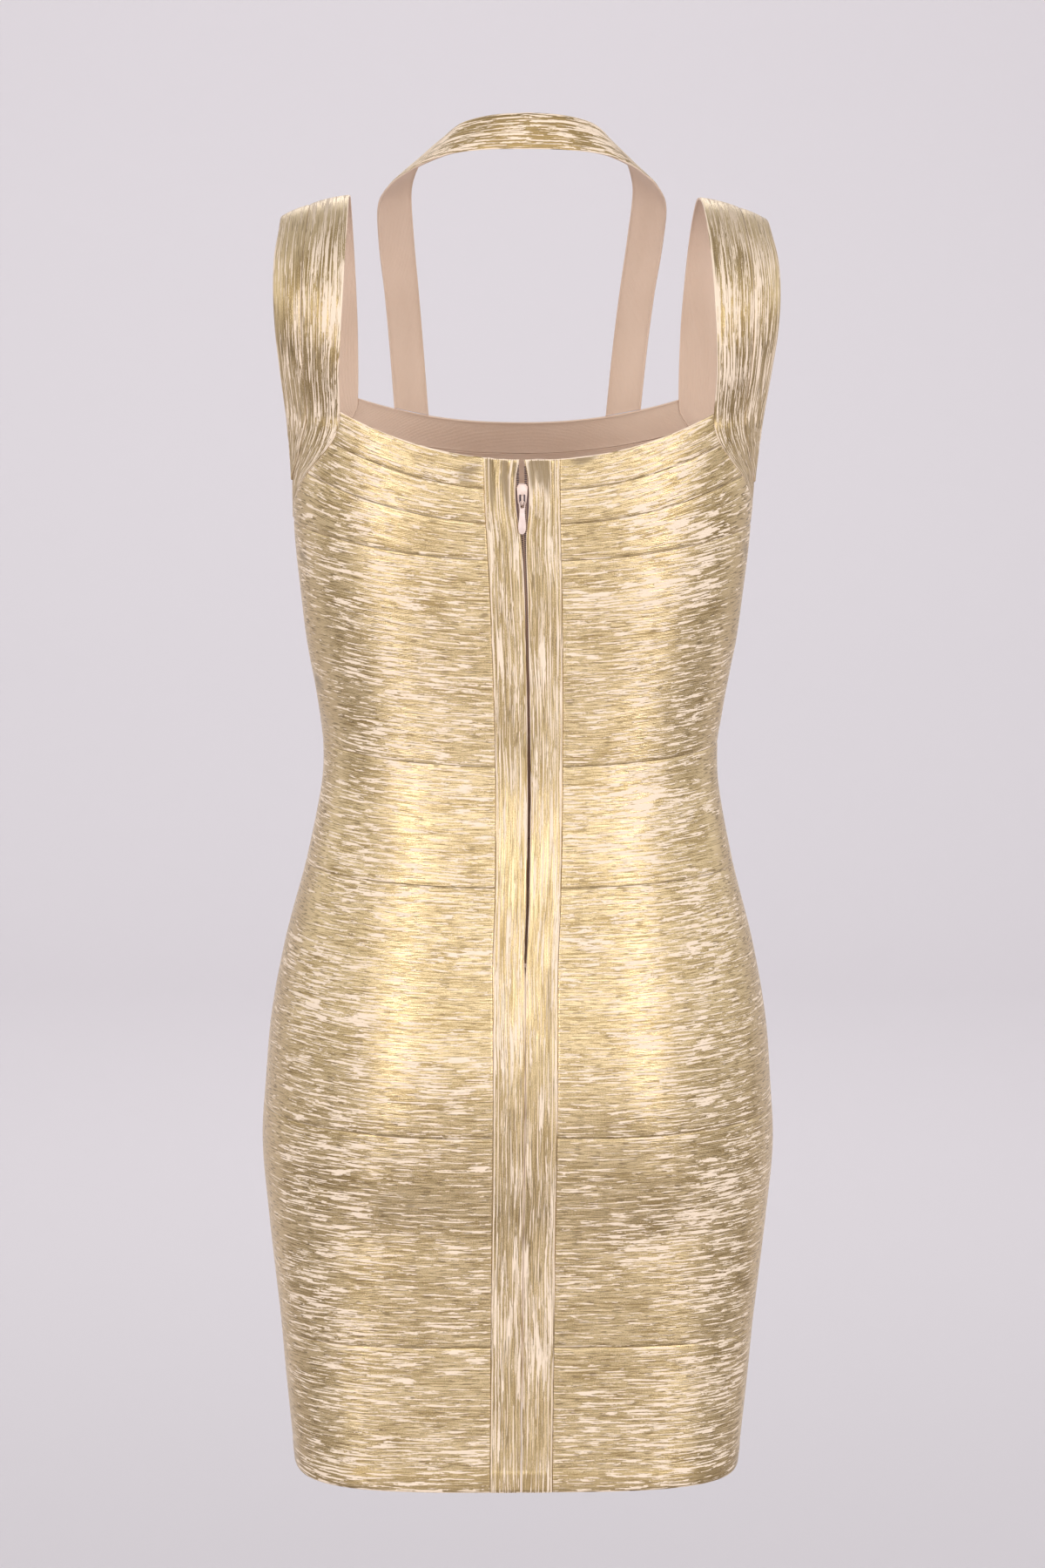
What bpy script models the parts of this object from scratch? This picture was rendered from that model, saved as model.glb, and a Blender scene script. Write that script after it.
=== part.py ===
"""A back-zipped bandage dress in its worn shape, hollow, with neck, armholes and hem open.

The world frame has +Z up, +Y at the wearer's back and +X at the wearer's left. The origin is
on the body's centre line, level with the top of the shoulders, where the wearer holds the
dress up. Tables and sizes are in millimetres, and MM turns them into metres.

The tube of the dress is one surface. A row of bands is cut from it between two seam lines.
Every piece of cloth is a wall: a grid on its outer face, a second grid one thickness inwards,
and a strip of faces that bridges the two round the edge.
"""

import functools
import math
from collections import namedtuple

import bmesh
import bpy
from mathutils import Vector

MM = 0.001

# ---------------------------------------------------------------- driving sizes, millimetres

CLOTH = 1.5
SEAM_GAP = 0.3
HALF_GAP = SEAM_GAP / 2

# How a seam line climbs from the centre to the side seam: the power of the share of the width.
CLIMB_POWER = 2.2
# The bust and seat swell most at this power's half-way point between centre and side.
SWELL_POWER = 0.75
QUARTER_STEPS = 48

BACK_CELLS = 10
FRONT_CELLS = 20

# Rings of the tube. back and front are depths on the centre line, square is the exponent of
# the ring's outline (2 is an ellipse), seat and bust are what each side swells past that.
Section = namedtuple("Section", "height half_width back front square seat bust")
SECTIONS = [
    Section(-56, 167.0, 80.0, 74.0, 2.4, 0.0, 0.0),
    Section(-114, 158.8, 86.0, 92.0, 2.4, 0.0, 0.0),
    Section(-163, 152.8, 87.0, 104.0, 2.4, 0.0, 2.0),
    Section(-197, 151.8, 87.0, 111.0, 2.4, 0.0, 7.0),
    Section(-226, 149.8, 86.0, 115.0, 2.4, 0.0, 11.0),
    Section(-256, 146.4, 84.5, 112.0, 2.4, 0.0, 8.5),
    Section(-290, 142.2, 82.0, 104.0, 2.35, 0.0, 3.0),
    Section(-330, 135.0, 79.5, 96.0, 2.3, 0.0, 0.0),
    Section(-364, 131.2, 78.5, 92.0, 2.3, 0.0, 0.0),
    Section(-390, 132.8, 80.5, 92.5, 2.3, 0.0, 0.0),
    Section(-439, 142.8, 90.5, 97.0, 2.3, 1.5, 0.0),
    Section(-490, 156.0, 104.0, 102.0, 2.35, 4.0, 0.0),
    Section(-541, 165.6, 114.5, 105.0, 2.4, 6.0, 0.0),
    Section(-582, 169.4, 117.5, 106.0, 2.45, 6.0, 0.0),
    Section(-626, 172.0, 114.0, 106.0, 2.55, 4.5, 0.0),
    Section(-674, 168.0, 107.0, 104.0, 2.75, 2.5, 0.0),
    Section(-743, 160.4, 102.5, 101.0, 3.1, 1.0, 0.0),
    Section(-798, 155.0, 101.5, 99.0, 3.4, 0.5, 0.0),
    Section(-845, 150.2, 102.0, 98.0, 3.6, 0.0, 0.0),
]

# Rows of bands, from the neckline down. back, side and front are the heights of the row's
# upper seam line, cells is how many steps the row is cut into.
Row = namedtuple("Row", "name back side front cells")
ROWS = [
    Row("neckline_upper", -163.5, -114.0, -152.5, 2),
    Row("neckline_middle", -183.5, -140.5, -174.0, 2),
    Row("neckline_lower", -205.5, -172.0, -197.0, 2),
    Row("bodice", -229.0, -211.0, -220.5, 5),
    Row("waist", -364.0, -357.0, -362.0, 3),
    Row("hip", -441.0, -438.0, -440.0, 6),
    Row("thigh", -601.5, -600.5, -601.5, 5),
    Row("hem", -746.0, -749.0, -747.0, 4),
]
HEM = Row("hem_edge", -845.0, -845.0, -845.0, 0)
LINES = ROWS + [HEM]
# The neckline bands end at the slanted strap seams, and the lowest of them at the underarm.
UNDERARM_LINE = 3

# Where each strap's inner edge meets the neckline, as a distance from the centre line.
STRAP_CORNER = {"back": 121.0, "front": 109.0}
# Half of the width at the neckline, which the climb of the upper edge is measured against.
NECKLINE_HALF_WIDTH = 153.0
# How the slanted strap seam bends towards the underarm.
SLANT_POWER = 2.0

# The strips beside the zip. half is from the zip's line to the strip's outer edge, slit is
# from the line to its inner edge, and sway is how far the line lies to the wearer's left.
Strip = namedtuple("Strip", "height half slit sway")
STRIPS = [
    Strip(-163.5, 25.0, 1.4, 4.4),
    Strip(-176.5, 24.6, 3.9, 4.1),
    Strip(-195.5, 24.4, 3.9, 3.5),
    Strip(-214.5, 24.0, 1.5, 2.6),
    Strip(-262, 23.4, 0.9, 0.3),
    Strip(-364, 22.1, 0.9, -2.4),
    Strip(-441, 21.5, 0.9, -1.8),
    Strip(-486.5, 21.3, 0.7, 0.0),
    Strip(-498.5, 21.2, HALF_GAP, 0.2),
    Strip(-601, 21.0, HALF_GAP, 0.0),
    Strip(-845, 20.7, HALF_GAP, 0.0),
]

# A shoulder strap above its corners, from back to front, on the wearer's left: its inner and
# outer edge, and the share of its width at which its two strips meet.
Edge = namedtuple("Edge", "inner_x inner_y inner_z outer_x outer_y outer_z split")
STRAP_EDGES = [
    Edge(121.5, 76, -109, 160.4, 45, -106, 0.56),
    Edge(120.5, 80, -85, 162.8, 53, -83, 0.56),
    Edge(119.0, 78, -60, 164.0, 52, -58, 0.56),
    Edge(117.5, 66, -35, 163.4, 40, -37, 0.56),
    Edge(116.0, 43, -13, 160.8, 22, -21, 0.56),
    Edge(115.0, 17, -1, 159.6, 3, -12.5, 0.56),
    Edge(114.0, -9, 1.5, 158.8, -15, -16.5, 0.56),
    Edge(113.0, -33, -10.5, 158.8, -31, -33, 0.56),
    Edge(111.5, -52, -34, 158.0, -42, -56, 0.56),
    Edge(110.0, -64, -62, 156.0, -46, -82, 0.56),
    Edge(109.0, -74, -93, 154.0, -44, -109, 0.56),
]
# The armhole edge of the strap below those rows: height, side and depth, back then front.
Arm = namedtuple("Arm", "line height side back front split")
ARMHOLE = [
    Arm(0.0, -129.5, 157.4, 37.0, 39.0, 0.57),
    Arm(0.5, -143, 155.8, 32.5, 34.0, 0.60),
    Arm(1.0, -155.5, 154.8, 28.0, 29.0, 0.66),
    Arm(1.5, -169.5, 153.5, 22.5, 23.0, 0.74),
    Arm(2.0, -183, 152.4, 16.5, 17.0, 0.86),
]
# The outer strip runs out at this line, and the inner one goes on to the underarm.
OUTER_STRIP_END = 2.0
INNER_STRIP_ENDS = (2.5, 2.75)
STRAP_ARCH = 2.5
STRAP_CELLS = 2
SLANT_GAP = 0.8

# The halter band from the nape to the front neckline, on the wearer's left.
Halter = namedtuple("Halter", "upper_x upper_y upper_z lower_x lower_y lower_z")
HALTER = [
    Halter(0, 60, 56, 0, 67, 33),
    Halter(23, 55, 54.5, 25, 63, 32.5),
    Halter(42.5, 40, 49.5, 48.5, 50, 30),
    Halter(54, 20, 40, 66, 31, 24),
    Halter(63, 0, 31.5, 78.5, 9, 17),
    Halter(69.5, -20, 22.5, 89, -14, 8.5),
    Halter(73.5, -42, 5, 96, -38, -5),
    Halter(71.5, -62, -26.5, 95, -58, -32.5),
    Halter(68, -79, -62, 91, -72, -65),
    Halter(64.5, -91, -100, 87.5, -83, -101),
]
# Where the halter's ends meet the front neckline, as distances from the centre line.
HALTER_END = (60.5, 84.0)
HALTER_STEPS = 17

# The zip lies behind the strips. Depths are from the dress's outer face, outwards positive.
ZIP_TOP = -167.0
ZIP_BOTTOM = -487.5
CHAIN_HALF_WIDTH = 2.15
CHAIN_FACE = -CLOTH - SEAM_GAP
CHAIN_THICK = 1.4
CHAIN_SPREAD = 1.5
TAPE_FACE = CHAIN_FACE
TAPE_THICK = 1.0
TAPE_WIDTH = 11.0
SPREAD_HEIGHT = -186.0
SPREAD_END = -182.5
ZIP_STEP = 20.0
STOP_SIZE = (2.1, 1.8, 3.0)
STOP_LIFT = 2.2
STOP_DROP = 1.0

# The slider, from its upper end down, and the pull tab that hangs in its bridge.
SLIDER_TOP = -179.0
SLIDER_LENGTH = 14.0
SLIDER_WIDTH = 7.0
SLIDER_TAIL_WIDTH = 5.6
SLIDER_FACE = 0.2
SLIDER_PLATE = 1.6
BACK_PLATE_FACE = CHAIN_FACE - CHAIN_THICK - 0.4
BACK_PLATE = 0.9
POST_HALF_WIDTH = 0.8
POST_LENGTH = 3.0
BRIDGE_TOP = -185.9
BRIDGE_LENGTH = 6.2
BRIDGE_LEG = 1.2
BRIDGE_WIDTH = 1.6
BRIDGE_ROOM = 1.95
BRIDGE_BAR = 0.9
TAB_THICK = 0.9
TAB_PIVOT_DEPTH = 1.15
TAB_PIVOT_HEIGHT = -190.0
TAB_PIN = 1.0
TAB_EYE = 4.6
TAB_EYE_HALF_WIDTH = 1.15
TAB_TOP_HALF_WIDTH = 1.95
TAB_HALF_WIDTH = 2.6
TAB_LENGTH = 22.0

# ------------------------------------------------------------------------------- reading tables


def read(table, key, field, where):
    """The value of one column between a table's rows, on a smooth curve through them."""
    keys = [getattr(row, key) for row in table]
    values = [getattr(row, field) for row in table]
    if keys[0] > keys[-1]:
        keys = [-k for k in keys]
        where = -where
    if where <= keys[0]:
        return values[0]
    if where >= keys[-1]:
        return values[-1]
    i = max(n for n in range(len(keys) - 1) if keys[n] <= where)

    def slope(n):
        low = max(n - 1, 0)
        high = min(n + 1, len(keys) - 1)
        return (values[high] - values[low]) / (keys[high] - keys[low])

    span = keys[i + 1] - keys[i]
    t = (where - keys[i]) / span
    start = values[i] * (1 + 2 * t) * (1 - t) ** 2
    end = values[i + 1] * t * t * (3 - 2 * t)
    leaving = slope(i) * span * t * (1 - t) ** 2
    arriving = slope(i + 1) * span * t * t * (t - 1)
    return start + end + leaving + arriving


def line_value(line, field):
    """A column of the seam lines at a line number, which may lie between two of them."""
    low = min(int(line), len(LINES) - 2)
    share = line - low
    above = getattr(LINES[low], field)
    below = getattr(LINES[low + 1], field)
    return above + (below - above) * share


# ------------------------------------------------------------------------- the tube's surface


@functools.lru_cache(maxsize=None)
def quarter(face, height):
    """Points of a quarter ring from the centre line to the side, each with its length so far."""
    half_width = read(SECTIONS, "height", "half_width", height)
    depth = read(SECTIONS, "height", face, height)
    power = 2 / read(SECTIONS, "height", "square", height)
    swell = read(SECTIONS, "height", "seat" if face == "back" else "bust", height)
    points = []
    length = 0.0
    for step in range(QUARTER_STEPS + 1):
        angle = math.pi / 2 * step / QUARTER_STEPS
        share = max(math.sin(angle), 0.0) ** power
        out = depth * max(math.cos(angle), 0.0) ** power
        out += swell * math.sin(math.pi * share**SWELL_POWER) ** 2
        x = half_width * share
        if points:
            length += math.hypot(x - points[-1][0], out - points[-1][1])
        points.append((x, out, length))
    return points


def along(face, height, distance):
    """The point of a quarter ring at this length from the centre line."""
    points = quarter(face, round(height, 2))
    for before, after in zip(points, points[1:]):
        if distance <= after[2] or after is points[-1]:
            share = (distance - before[2]) / (after[2] - before[2])
            x = before[0] + (after[0] - before[0]) * share
            out = before[1] + (after[1] - before[1]) * share
            return x, out
    return points[-1][:2]


def quarter_length(face, height):
    return quarter(face, round(height, 2))[-1][2]


def distance_at_width(face, height, width):
    """The length along a quarter ring at which it is this far from the centre plane."""
    points = quarter(face, round(height, 2))
    for before, after in zip(points, points[1:]):
        if after[0] >= width:
            share = (width - before[0]) / (after[0] - before[0])
            return before[2] + (after[2] - before[2]) * share
    return points[-1][2]


def seam_height(face, share, line):
    """The height of a seam line, where share is 0 at the centre line and 1 at the side."""
    centre = line_value(line, face)
    side = line_value(line, "side")
    middle = (centre + side) / 2
    x, _ = along(face, middle, share * quarter_length(face, middle))
    climb = (x / quarter(face, round(middle, 2))[-1][0]) ** CLIMB_POWER
    return centre + (side - centre) * climb


def on_tube(face, side, share, line, lift=0.0, drop=0.0):
    """A point of the tube's outer face. lift moves it outwards, and drop moves it down."""
    height = seam_height(face, share, line) - drop
    x, out = along(face, height, share * quarter_length(face, height))
    point = Vector((side * x, out if face == "back" else -out, height))
    if lift:
        point += tube_normal(face, side, share, line) * lift
    return point


def tube_normal(face, side, share, line):
    """The direction straight out of the tube."""
    step = 0.01
    low = max(share - step, 0.0)
    high = min(share + step, 1.0)
    top = max(line - step, 0.0)
    bottom = min(line + step, len(LINES) - 1.0)
    across = on_tube(face, side, high, line) - on_tube(face, side, low, line)
    down = on_tube(face, side, share, bottom) - on_tube(face, side, share, top)
    normal = across.cross(down).normalized()
    return normal if normal.y * (1 if face == "back" else -1) >= 0 else -normal


# ----------------------------------------------------------------------------- materials


def finish(name, colour, roughness, metallic):
    material = bpy.data.materials.new(name)
    material.use_nodes = True
    shader = material.node_tree.nodes["Principled BSDF"]
    shader.inputs["Base Color"].default_value = (*colour, 1.0)
    shader.inputs["Roughness"].default_value = roughness
    shader.inputs["Metallic"].default_value = metallic
    material.diffuse_color = (*colour, 1.0)
    return material


GOLD = (0.70, 0.54, 0.34)
BLUSH = (0.80, 0.62, 0.52)
TAPE = (0.55, 0.42, 0.33)
METAL = (0.78, 0.70, 0.62)

# --------------------------------------------------------------------------- making solids


def add_object(name, mesh_maker, material):
    """An object at the world's origin, with the mesh that mesh_maker shapes in millimetres."""
    mesh = bpy.data.meshes.new(name)
    work = bmesh.new()
    mesh_maker(work)
    bmesh.ops.scale(work, vec=(MM, MM, MM), verts=work.verts)
    work.to_mesh(mesh)
    work.free()
    mesh.shade_smooth()
    mesh.set_sharp_from_angle(angle=math.radians(40))
    mesh.materials.append(material)
    obj = bpy.data.objects.new(name, mesh)
    bpy.context.scene.collection.objects.link(obj)
    return obj


def sheet(name, across, down, point_at, out_at, thickness, material):
    """A wall of across by down cells. point_at and out_at take two shares from 0 to 1.

    point_at gives a point of the outer face, and out_at the direction straight out of it.
    """

    def shape(work):
        for depth in (0.0, thickness):
            grid = bmesh.ops.create_grid(work, x_segments=across, y_segments=down, size=0.5)
            for vertex in grid["verts"]:
                place = (vertex.co.x + 0.5, 0.5 - vertex.co.y)
                vertex.co = point_at(*place) - out_at(*place) * depth
        rims = [edge for edge in work.edges if edge.is_boundary]
        bmesh.ops.bridge_loops(work, edges=rims)
        bmesh.ops.recalc_face_normals(work, faces=work.faces)

    return add_object(name, shape, material)


def box(work, low, high):
    """A box between two corners, added to a bmesh."""
    made = bmesh.ops.create_cube(work, size=1.0)["verts"]
    size = [b - a for a, b in zip(low, high)]
    bmesh.ops.scale(work, vec=size, verts=made)
    bmesh.ops.translate(work, vec=[(a + b) / 2 for a, b in zip(low, high)], verts=made)


def extruded(work, outline, direction):
    """A flat outline pulled out into a solid."""
    face = work.faces.new([work.verts.new(corner) for corner in outline])
    pulled = bmesh.ops.extrude_face_region(work, geom=[face])["geom"]
    moved = [item for item in pulled if isinstance(item, bmesh.types.BMVert)]
    bmesh.ops.translate(work, vec=direction, verts=moved)
    bmesh.ops.recalc_face_normals(work, faces=work.faces)


def combine(obj, name, operation, mesh_maker):
    """A Boolean with a hidden helper object."""
    helper = add_object(name, mesh_maker, obj.data.materials[0])
    helper.hide_render = True
    helper.display_type = "WIRE"
    helper.parent = obj.parent
    helper.location = obj.location
    change = obj.modifiers.new(name, "BOOLEAN")
    change.operation = operation
    change.object = helper
    return helper


# ------------------------------------------------------------------------------- the bands


def strip_value(field, line):
    return read(STRIPS, "height", field, line_value(line, "back"))


def strap_share(face, line):
    """Where a neckline band ends at the strap seam, as a share of the quarter ring."""
    line = min(line, UNDERARM_LINE)
    height = line_value(0, face)
    edge = STRAP_CORNER[face]
    corner_height = height + (line_value(0, "side") - height) * (edge / NECKLINE_HALF_WIDTH) ** CLIMB_POWER
    corner = distance_at_width(face, corner_height, edge)
    corner /= quarter_length(face, corner_height)
    return corner + (1 - corner) * (line / UNDERARM_LINE) ** SLANT_POWER


def row_drop(down_share):
    """Half a seam's gap off the upper and the lower edge of a row."""
    return HALF_GAP * (1 - 2 * down_share)


def back_band(row, side):
    """A band of the back, from the strip beside the zip to the side seam or the strap."""
    first = ROWS.index(row)

    def place(across, down):
        line = first + down
        length = quarter_length("back", seam_height("back", 0.5, line))
        start = strip_value("half", line) + side * strip_value("sway", line) + HALF_GAP
        low = start / length
        high = strap_share("back", line) - HALF_GAP / length
        return low + (high - low) * across, line

    def point_at(across, down):
        share, line = place(across, down)
        return on_tube("back", side, share, line, drop=row_drop(down))

    def out_at(across, down):
        return tube_normal("back", side, *place(across, down))

    name = f"back_{'left' if side > 0 else 'right'}_{row.name}"
    colour = finish(name, GOLD, 0.45, 0.6)
    return sheet(name, BACK_CELLS, row.cells, point_at, out_at, CLOTH, colour)


def front_band(row):
    """A band of the front, from side seam to side seam or from strap to strap."""
    first = ROWS.index(row)

    def place(across, down):
        line = first + down
        length = quarter_length("front", seam_height("front", 0.5, line))
        end = strap_share("front", line) - HALF_GAP / length
        turn = (2 * across - 1) * end
        return 1 if turn >= 0 else -1, abs(turn), line

    def point_at(across, down):
        return on_tube("front", *place(across, down), drop=row_drop(down))

    def out_at(across, down):
        return tube_normal("front", *place(across, down))

    name = f"front_{row.name}"
    colour = finish(name, GOLD, 0.45, 0.6)
    return sheet(name, FRONT_CELLS, row.cells, point_at, out_at, CLOTH, colour)


# --------------------------------------------------------------- the strips beside the zip


def back_place(distance, line):
    """Side, share and line of what lies at a signed distance from the zip's line."""
    across = strip_value("sway", line) + distance
    length = quarter_length("back", line_value(line, "back"))
    return 1 if across >= 0 else -1, abs(across) / length, line


def beside_zip(distance, line, lift=0.0):
    """A point of the back, or lifted off it, at a signed distance from the zip's line."""
    return on_tube("back", *back_place(distance, line), lift=lift)


def line_of_height(height):
    """The line number at a height on the centre back."""
    for number, (above, below) in enumerate(zip(LINES, LINES[1:])):
        if height >= below.back:
            return number + (above.back - height) / (above.back - below.back)
    return len(LINES) - 1.0


def row_stations():
    """Every step of every row, as line numbers from the neckline to the hem."""
    stations = [n + k / row.cells for n, row in enumerate(ROWS) for k in range(row.cells)]
    return stations + [len(ROWS)]


def zip_strip(side):
    """The lengthwise strip on one side of the zip, from the neckline to the hem."""
    stations = row_stations()

    def place(across, down):
        line = stations[round(down * (len(stations) - 1))]
        inner = strip_value("slit", line)
        outer = strip_value("half", line) - HALF_GAP
        return side * (inner + (outer - inner) * across), line

    def point_at(across, down):
        return beside_zip(*place(across, down))

    def out_at(across, down):
        return tube_normal("back", *back_place(*place(across, down)))

    name = f"zip_strip_{'left' if side > 0 else 'right'}"
    colour = finish(name, GOLD, 0.45, 0.6)
    return sheet(name, 2, len(stations) - 1, point_at, out_at, CLOTH, colour)


# ------------------------------------------------------------------------ shoulder straps


def smooth_between(rows, place):
    """A point on a smooth curve through rows of points, place 0 at the first row."""
    last = len(rows) - 1
    i = min(int(place), last - 1)
    t = place - i
    before = rows[max(i - 1, 0)]
    start, end = rows[i], rows[i + 1]
    after = rows[min(i + 2, last)]
    result = []
    for a, b, c, d in zip(before, start, end, after):
        bend = 2 * b + (c - a) * t
        bend += (2 * a - 5 * b + 4 * c - d) * t * t
        bend += (3 * b - a - 3 * c + d) * t**3
        result.append(bend / 2)
    return result


StrapRow = namedtuple("StrapRow", "inner outer split seam_out")


def low_strap_rows(face):
    """Rows from the strap's corner to the underarm, where its inner edge is the slanted seam."""
    sign = 1 if face == "back" else -1
    rows = []
    for arm in ARMHOLE:
        share = strap_share(face, arm.line)
        outer = Vector((arm.side, sign * getattr(arm, face), arm.height))
        out = tube_normal(face, 1, share, arm.line)
        rows.append(StrapRow(on_tube(face, 1, share, arm.line), outer, arm.split, out))
    last = rows[-1].outer
    underarm = on_tube(face, 1, 1.0, UNDERARM_LINE)
    for line in INNER_STRIP_ENDS:
        share = strap_share(face, line)
        reach = (line - OUTER_STRIP_END) / (UNDERARM_LINE - OUTER_STRIP_END)
        out = tube_normal(face, 1, share, line)
        rows.append(StrapRow(on_tube(face, 1, share, line), last.lerp(underarm, reach), 1.0, out))
    return rows


@functools.lru_cache(maxsize=None)
def strap_rows():
    """Every row along a left strap, from the underarm at the back to the one at the front."""
    middle = []
    for edge in STRAP_EDGES:
        inner = Vector((edge.inner_x, edge.inner_y, edge.inner_z))
        outer = Vector((edge.outer_x, edge.outer_y, edge.outer_z))
        middle.append(StrapRow(inner, outer, edge.split, None))
    return low_strap_rows("back")[::-1] + middle + low_strap_rows("front")


def crown(row):
    """Away from the shoulder joint, for the strap's gentle crown."""
    middle = (row.inner + row.outer) / 2
    return Vector((middle.x - 100, middle.y, middle.z + 90)).normalized()


def strap_out(number, share):
    """The direction straight out of a left strap at a row and a share of its width."""
    rows = strap_rows()
    row = rows[number]
    before = rows[max(number - 1, 0)]
    after = rows[min(number + 1, len(rows) - 1)]
    along_strap = (after.inner + after.outer) - (before.inner + before.outer)
    out = along_strap.cross(row.outer - row.inner).normalized()
    if out.dot(crown(row)) < 0:
        out = -out
    if row.seam_out:
        out = row.seam_out.lerp(out, share).normalized()
    return out


def strap_strip(side, part):
    """One of the two strips of a shoulder strap. part is inner or outer."""
    rows = strap_rows()
    first = len(INNER_STRIP_ENDS) if part == "outer" else 0
    steps = len(rows) - 1 - 2 * first

    def place(across, down):
        number = first + round(down * steps)
        row = rows[number]
        width = (row.outer - row.inner).length
        gap = HALF_GAP / width
        edge = SLANT_GAP / width if row.seam_out else gap
        low, high = (edge, row.split - gap) if part == "inner" else (row.split + gap, 1.0)
        return number, low + (high - low) * across, width

    def point_at(across, down):
        number, share, width = place(across, down)
        row = rows[number]
        lift = STRAP_ARCH * (width / 50) ** 2 * math.sin(math.pi * share)
        point = row.inner.lerp(row.outer, share) + crown(row) * lift
        point.x *= side
        return point

    def out_at(across, down):
        number, share, _ = place(across, down)
        out = strap_out(number, share).copy()
        out.x *= side
        return out

    name = f"strap_{'left' if side > 0 else 'right'}_{part}"
    colour = finish(name, GOLD, 0.45, 0.6)
    return sheet(name, STRAP_CELLS, steps, point_at, out_at, CLOTH, colour)


# ------------------------------------------------------------------------------ halter band


def halter_rows():
    """Half of the halter band, from the nape to its end on the front neckline."""
    rows = [tuple(row) for row in HALTER]
    ends = []
    for width in HALTER_END:
        height = line_value(0, "front")
        height += (line_value(0, "side") - height) * (width / NECKLINE_HALF_WIDTH) ** CLIMB_POWER
        share = distance_at_width("front", height, width) / quarter_length("front", height)
        ends += [*on_tube("front", 1, share, 0, drop=-SEAM_GAP)]
    return rows + [tuple(ends)]


def halter_band():
    """The band behind the neck, which runs over both shoulders to the front neckline."""
    rows = halter_rows()
    span = len(rows) - 1

    def at(turn, across):
        row = smooth_between(rows, min(abs(turn), 1.0) * span)
        point = Vector(row[0:3]).lerp(Vector(row[3:6]), across)
        if turn < 0:
            point.x = -point.x
        return point

    def point_at(across, down):
        return at(2 * down - 1, across)

    def out_at(across, down):
        turn = 2 * down - 1
        ahead = at(min(turn + 0.01, 1.0), across) - at(max(turn - 0.01, -1.0), across)
        out = ahead.cross(at(turn, 1.0) - at(turn, 0.0)).normalized()
        middle = at(turn, 0.5)
        return out if out.dot(Vector((middle.x, middle.y, 60.0))) > 0 else -out

    colour = finish("halter_band", GOLD, 0.45, 0.6)
    return sheet("halter_band", 2, 2 * HALTER_STEPS, point_at, out_at, CLOTH, colour)


# ------------------------------------------------------------------------------------ zip


def zip_stations():
    count = round((ZIP_TOP - ZIP_BOTTOM) / ZIP_STEP)
    heights = [ZIP_TOP + (ZIP_BOTTOM - ZIP_TOP) * n / count for n in range(count + 1)]
    heights = [h for h in heights if not SPREAD_HEIGHT - 3 < h < SPREAD_END + 3]
    return sorted(heights + [SPREAD_HEIGHT, SPREAD_END], reverse=True)


def chain_spread(height):
    """How far each half of the chain lies from the zip's line: apart above the slider."""
    share = (height - SPREAD_HEIGHT) / (SPREAD_END - SPREAD_HEIGHT)
    share = min(max(share, 0.0), 1.0)
    return HALF_GAP + (CHAIN_SPREAD - HALF_GAP) * share


def zip_length(name, side, start, width, face, thickness, material):
    """A long thin piece of the zip, on one side of its line."""
    heights = zip_stations()

    def place(across, down):
        height = heights[round(down * (len(heights) - 1))]
        distance = chain_spread(height) + start + width * across
        return side * distance, line_of_height(height)

    def point_at(across, down):
        return beside_zip(*place(across, down), lift=face)

    def out_at(across, down):
        return tube_normal("back", *back_place(*place(across, down)))

    return sheet(name, 1, len(heights) - 1, point_at, out_at, thickness, material)


def zip_side(side):
    """One tape with its half of the chain, and the stop at its upper end."""
    word = "left" if side > 0 else "right"
    chain = finish(f"zip_chain_{word}", METAL, 0.5, 0.2)
    zip_length(
        f"zip_chain_{word}", side, 0.0, CHAIN_HALF_WIDTH, CHAIN_FACE, CHAIN_THICK, chain
    )
    tape = finish(f"zip_tape_{word}", TAPE, 0.8, 0.0)
    start = CHAIN_HALF_WIDTH + SEAM_GAP
    zip_length(f"zip_tape_{word}", side, start, TAPE_WIDTH, TAPE_FACE, TAPE_THICK, tape)

    def stop(work):
        top = beside_zip(0, line_of_height(ZIP_TOP), lift=CHAIN_FACE)
        middle = top.x + side * (CHAIN_SPREAD + CHAIN_HALF_WIDTH / 2)
        half = STOP_SIZE[0] / 2
        low = (middle - half, top.y - STOP_SIZE[1] + 0.2, top.z + SEAM_GAP)
        box(work, low, (middle + half, top.y + 0.2, top.z + STOP_LIFT))

    add_object(f"zip_top_stop_{word}", stop, finish(f"zip_top_stop_{word}", METAL, 0.35, 0.8))


def bottom_stop():
    """The staple across the lower end of the chain."""

    def shape(work):
        end = beside_zip(0, line_of_height(ZIP_BOTTOM), lift=CHAIN_FACE)
        width, deep, tall = STOP_SIZE
        top = end.z - STOP_DROP
        box(work, (end.x - width, end.y - deep, top - tall), (end.x + width, end.y, top))

    add_object("zip_bottom_stop", shape, finish("zip_bottom_stop", METAL, 0.35, 0.8))


def slider_place():
    """The outer face of the dress at the slider's middle, on the zip's line."""
    return beside_zip(0, line_of_height(SLIDER_TOP - SLIDER_LENGTH / 2))


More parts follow.
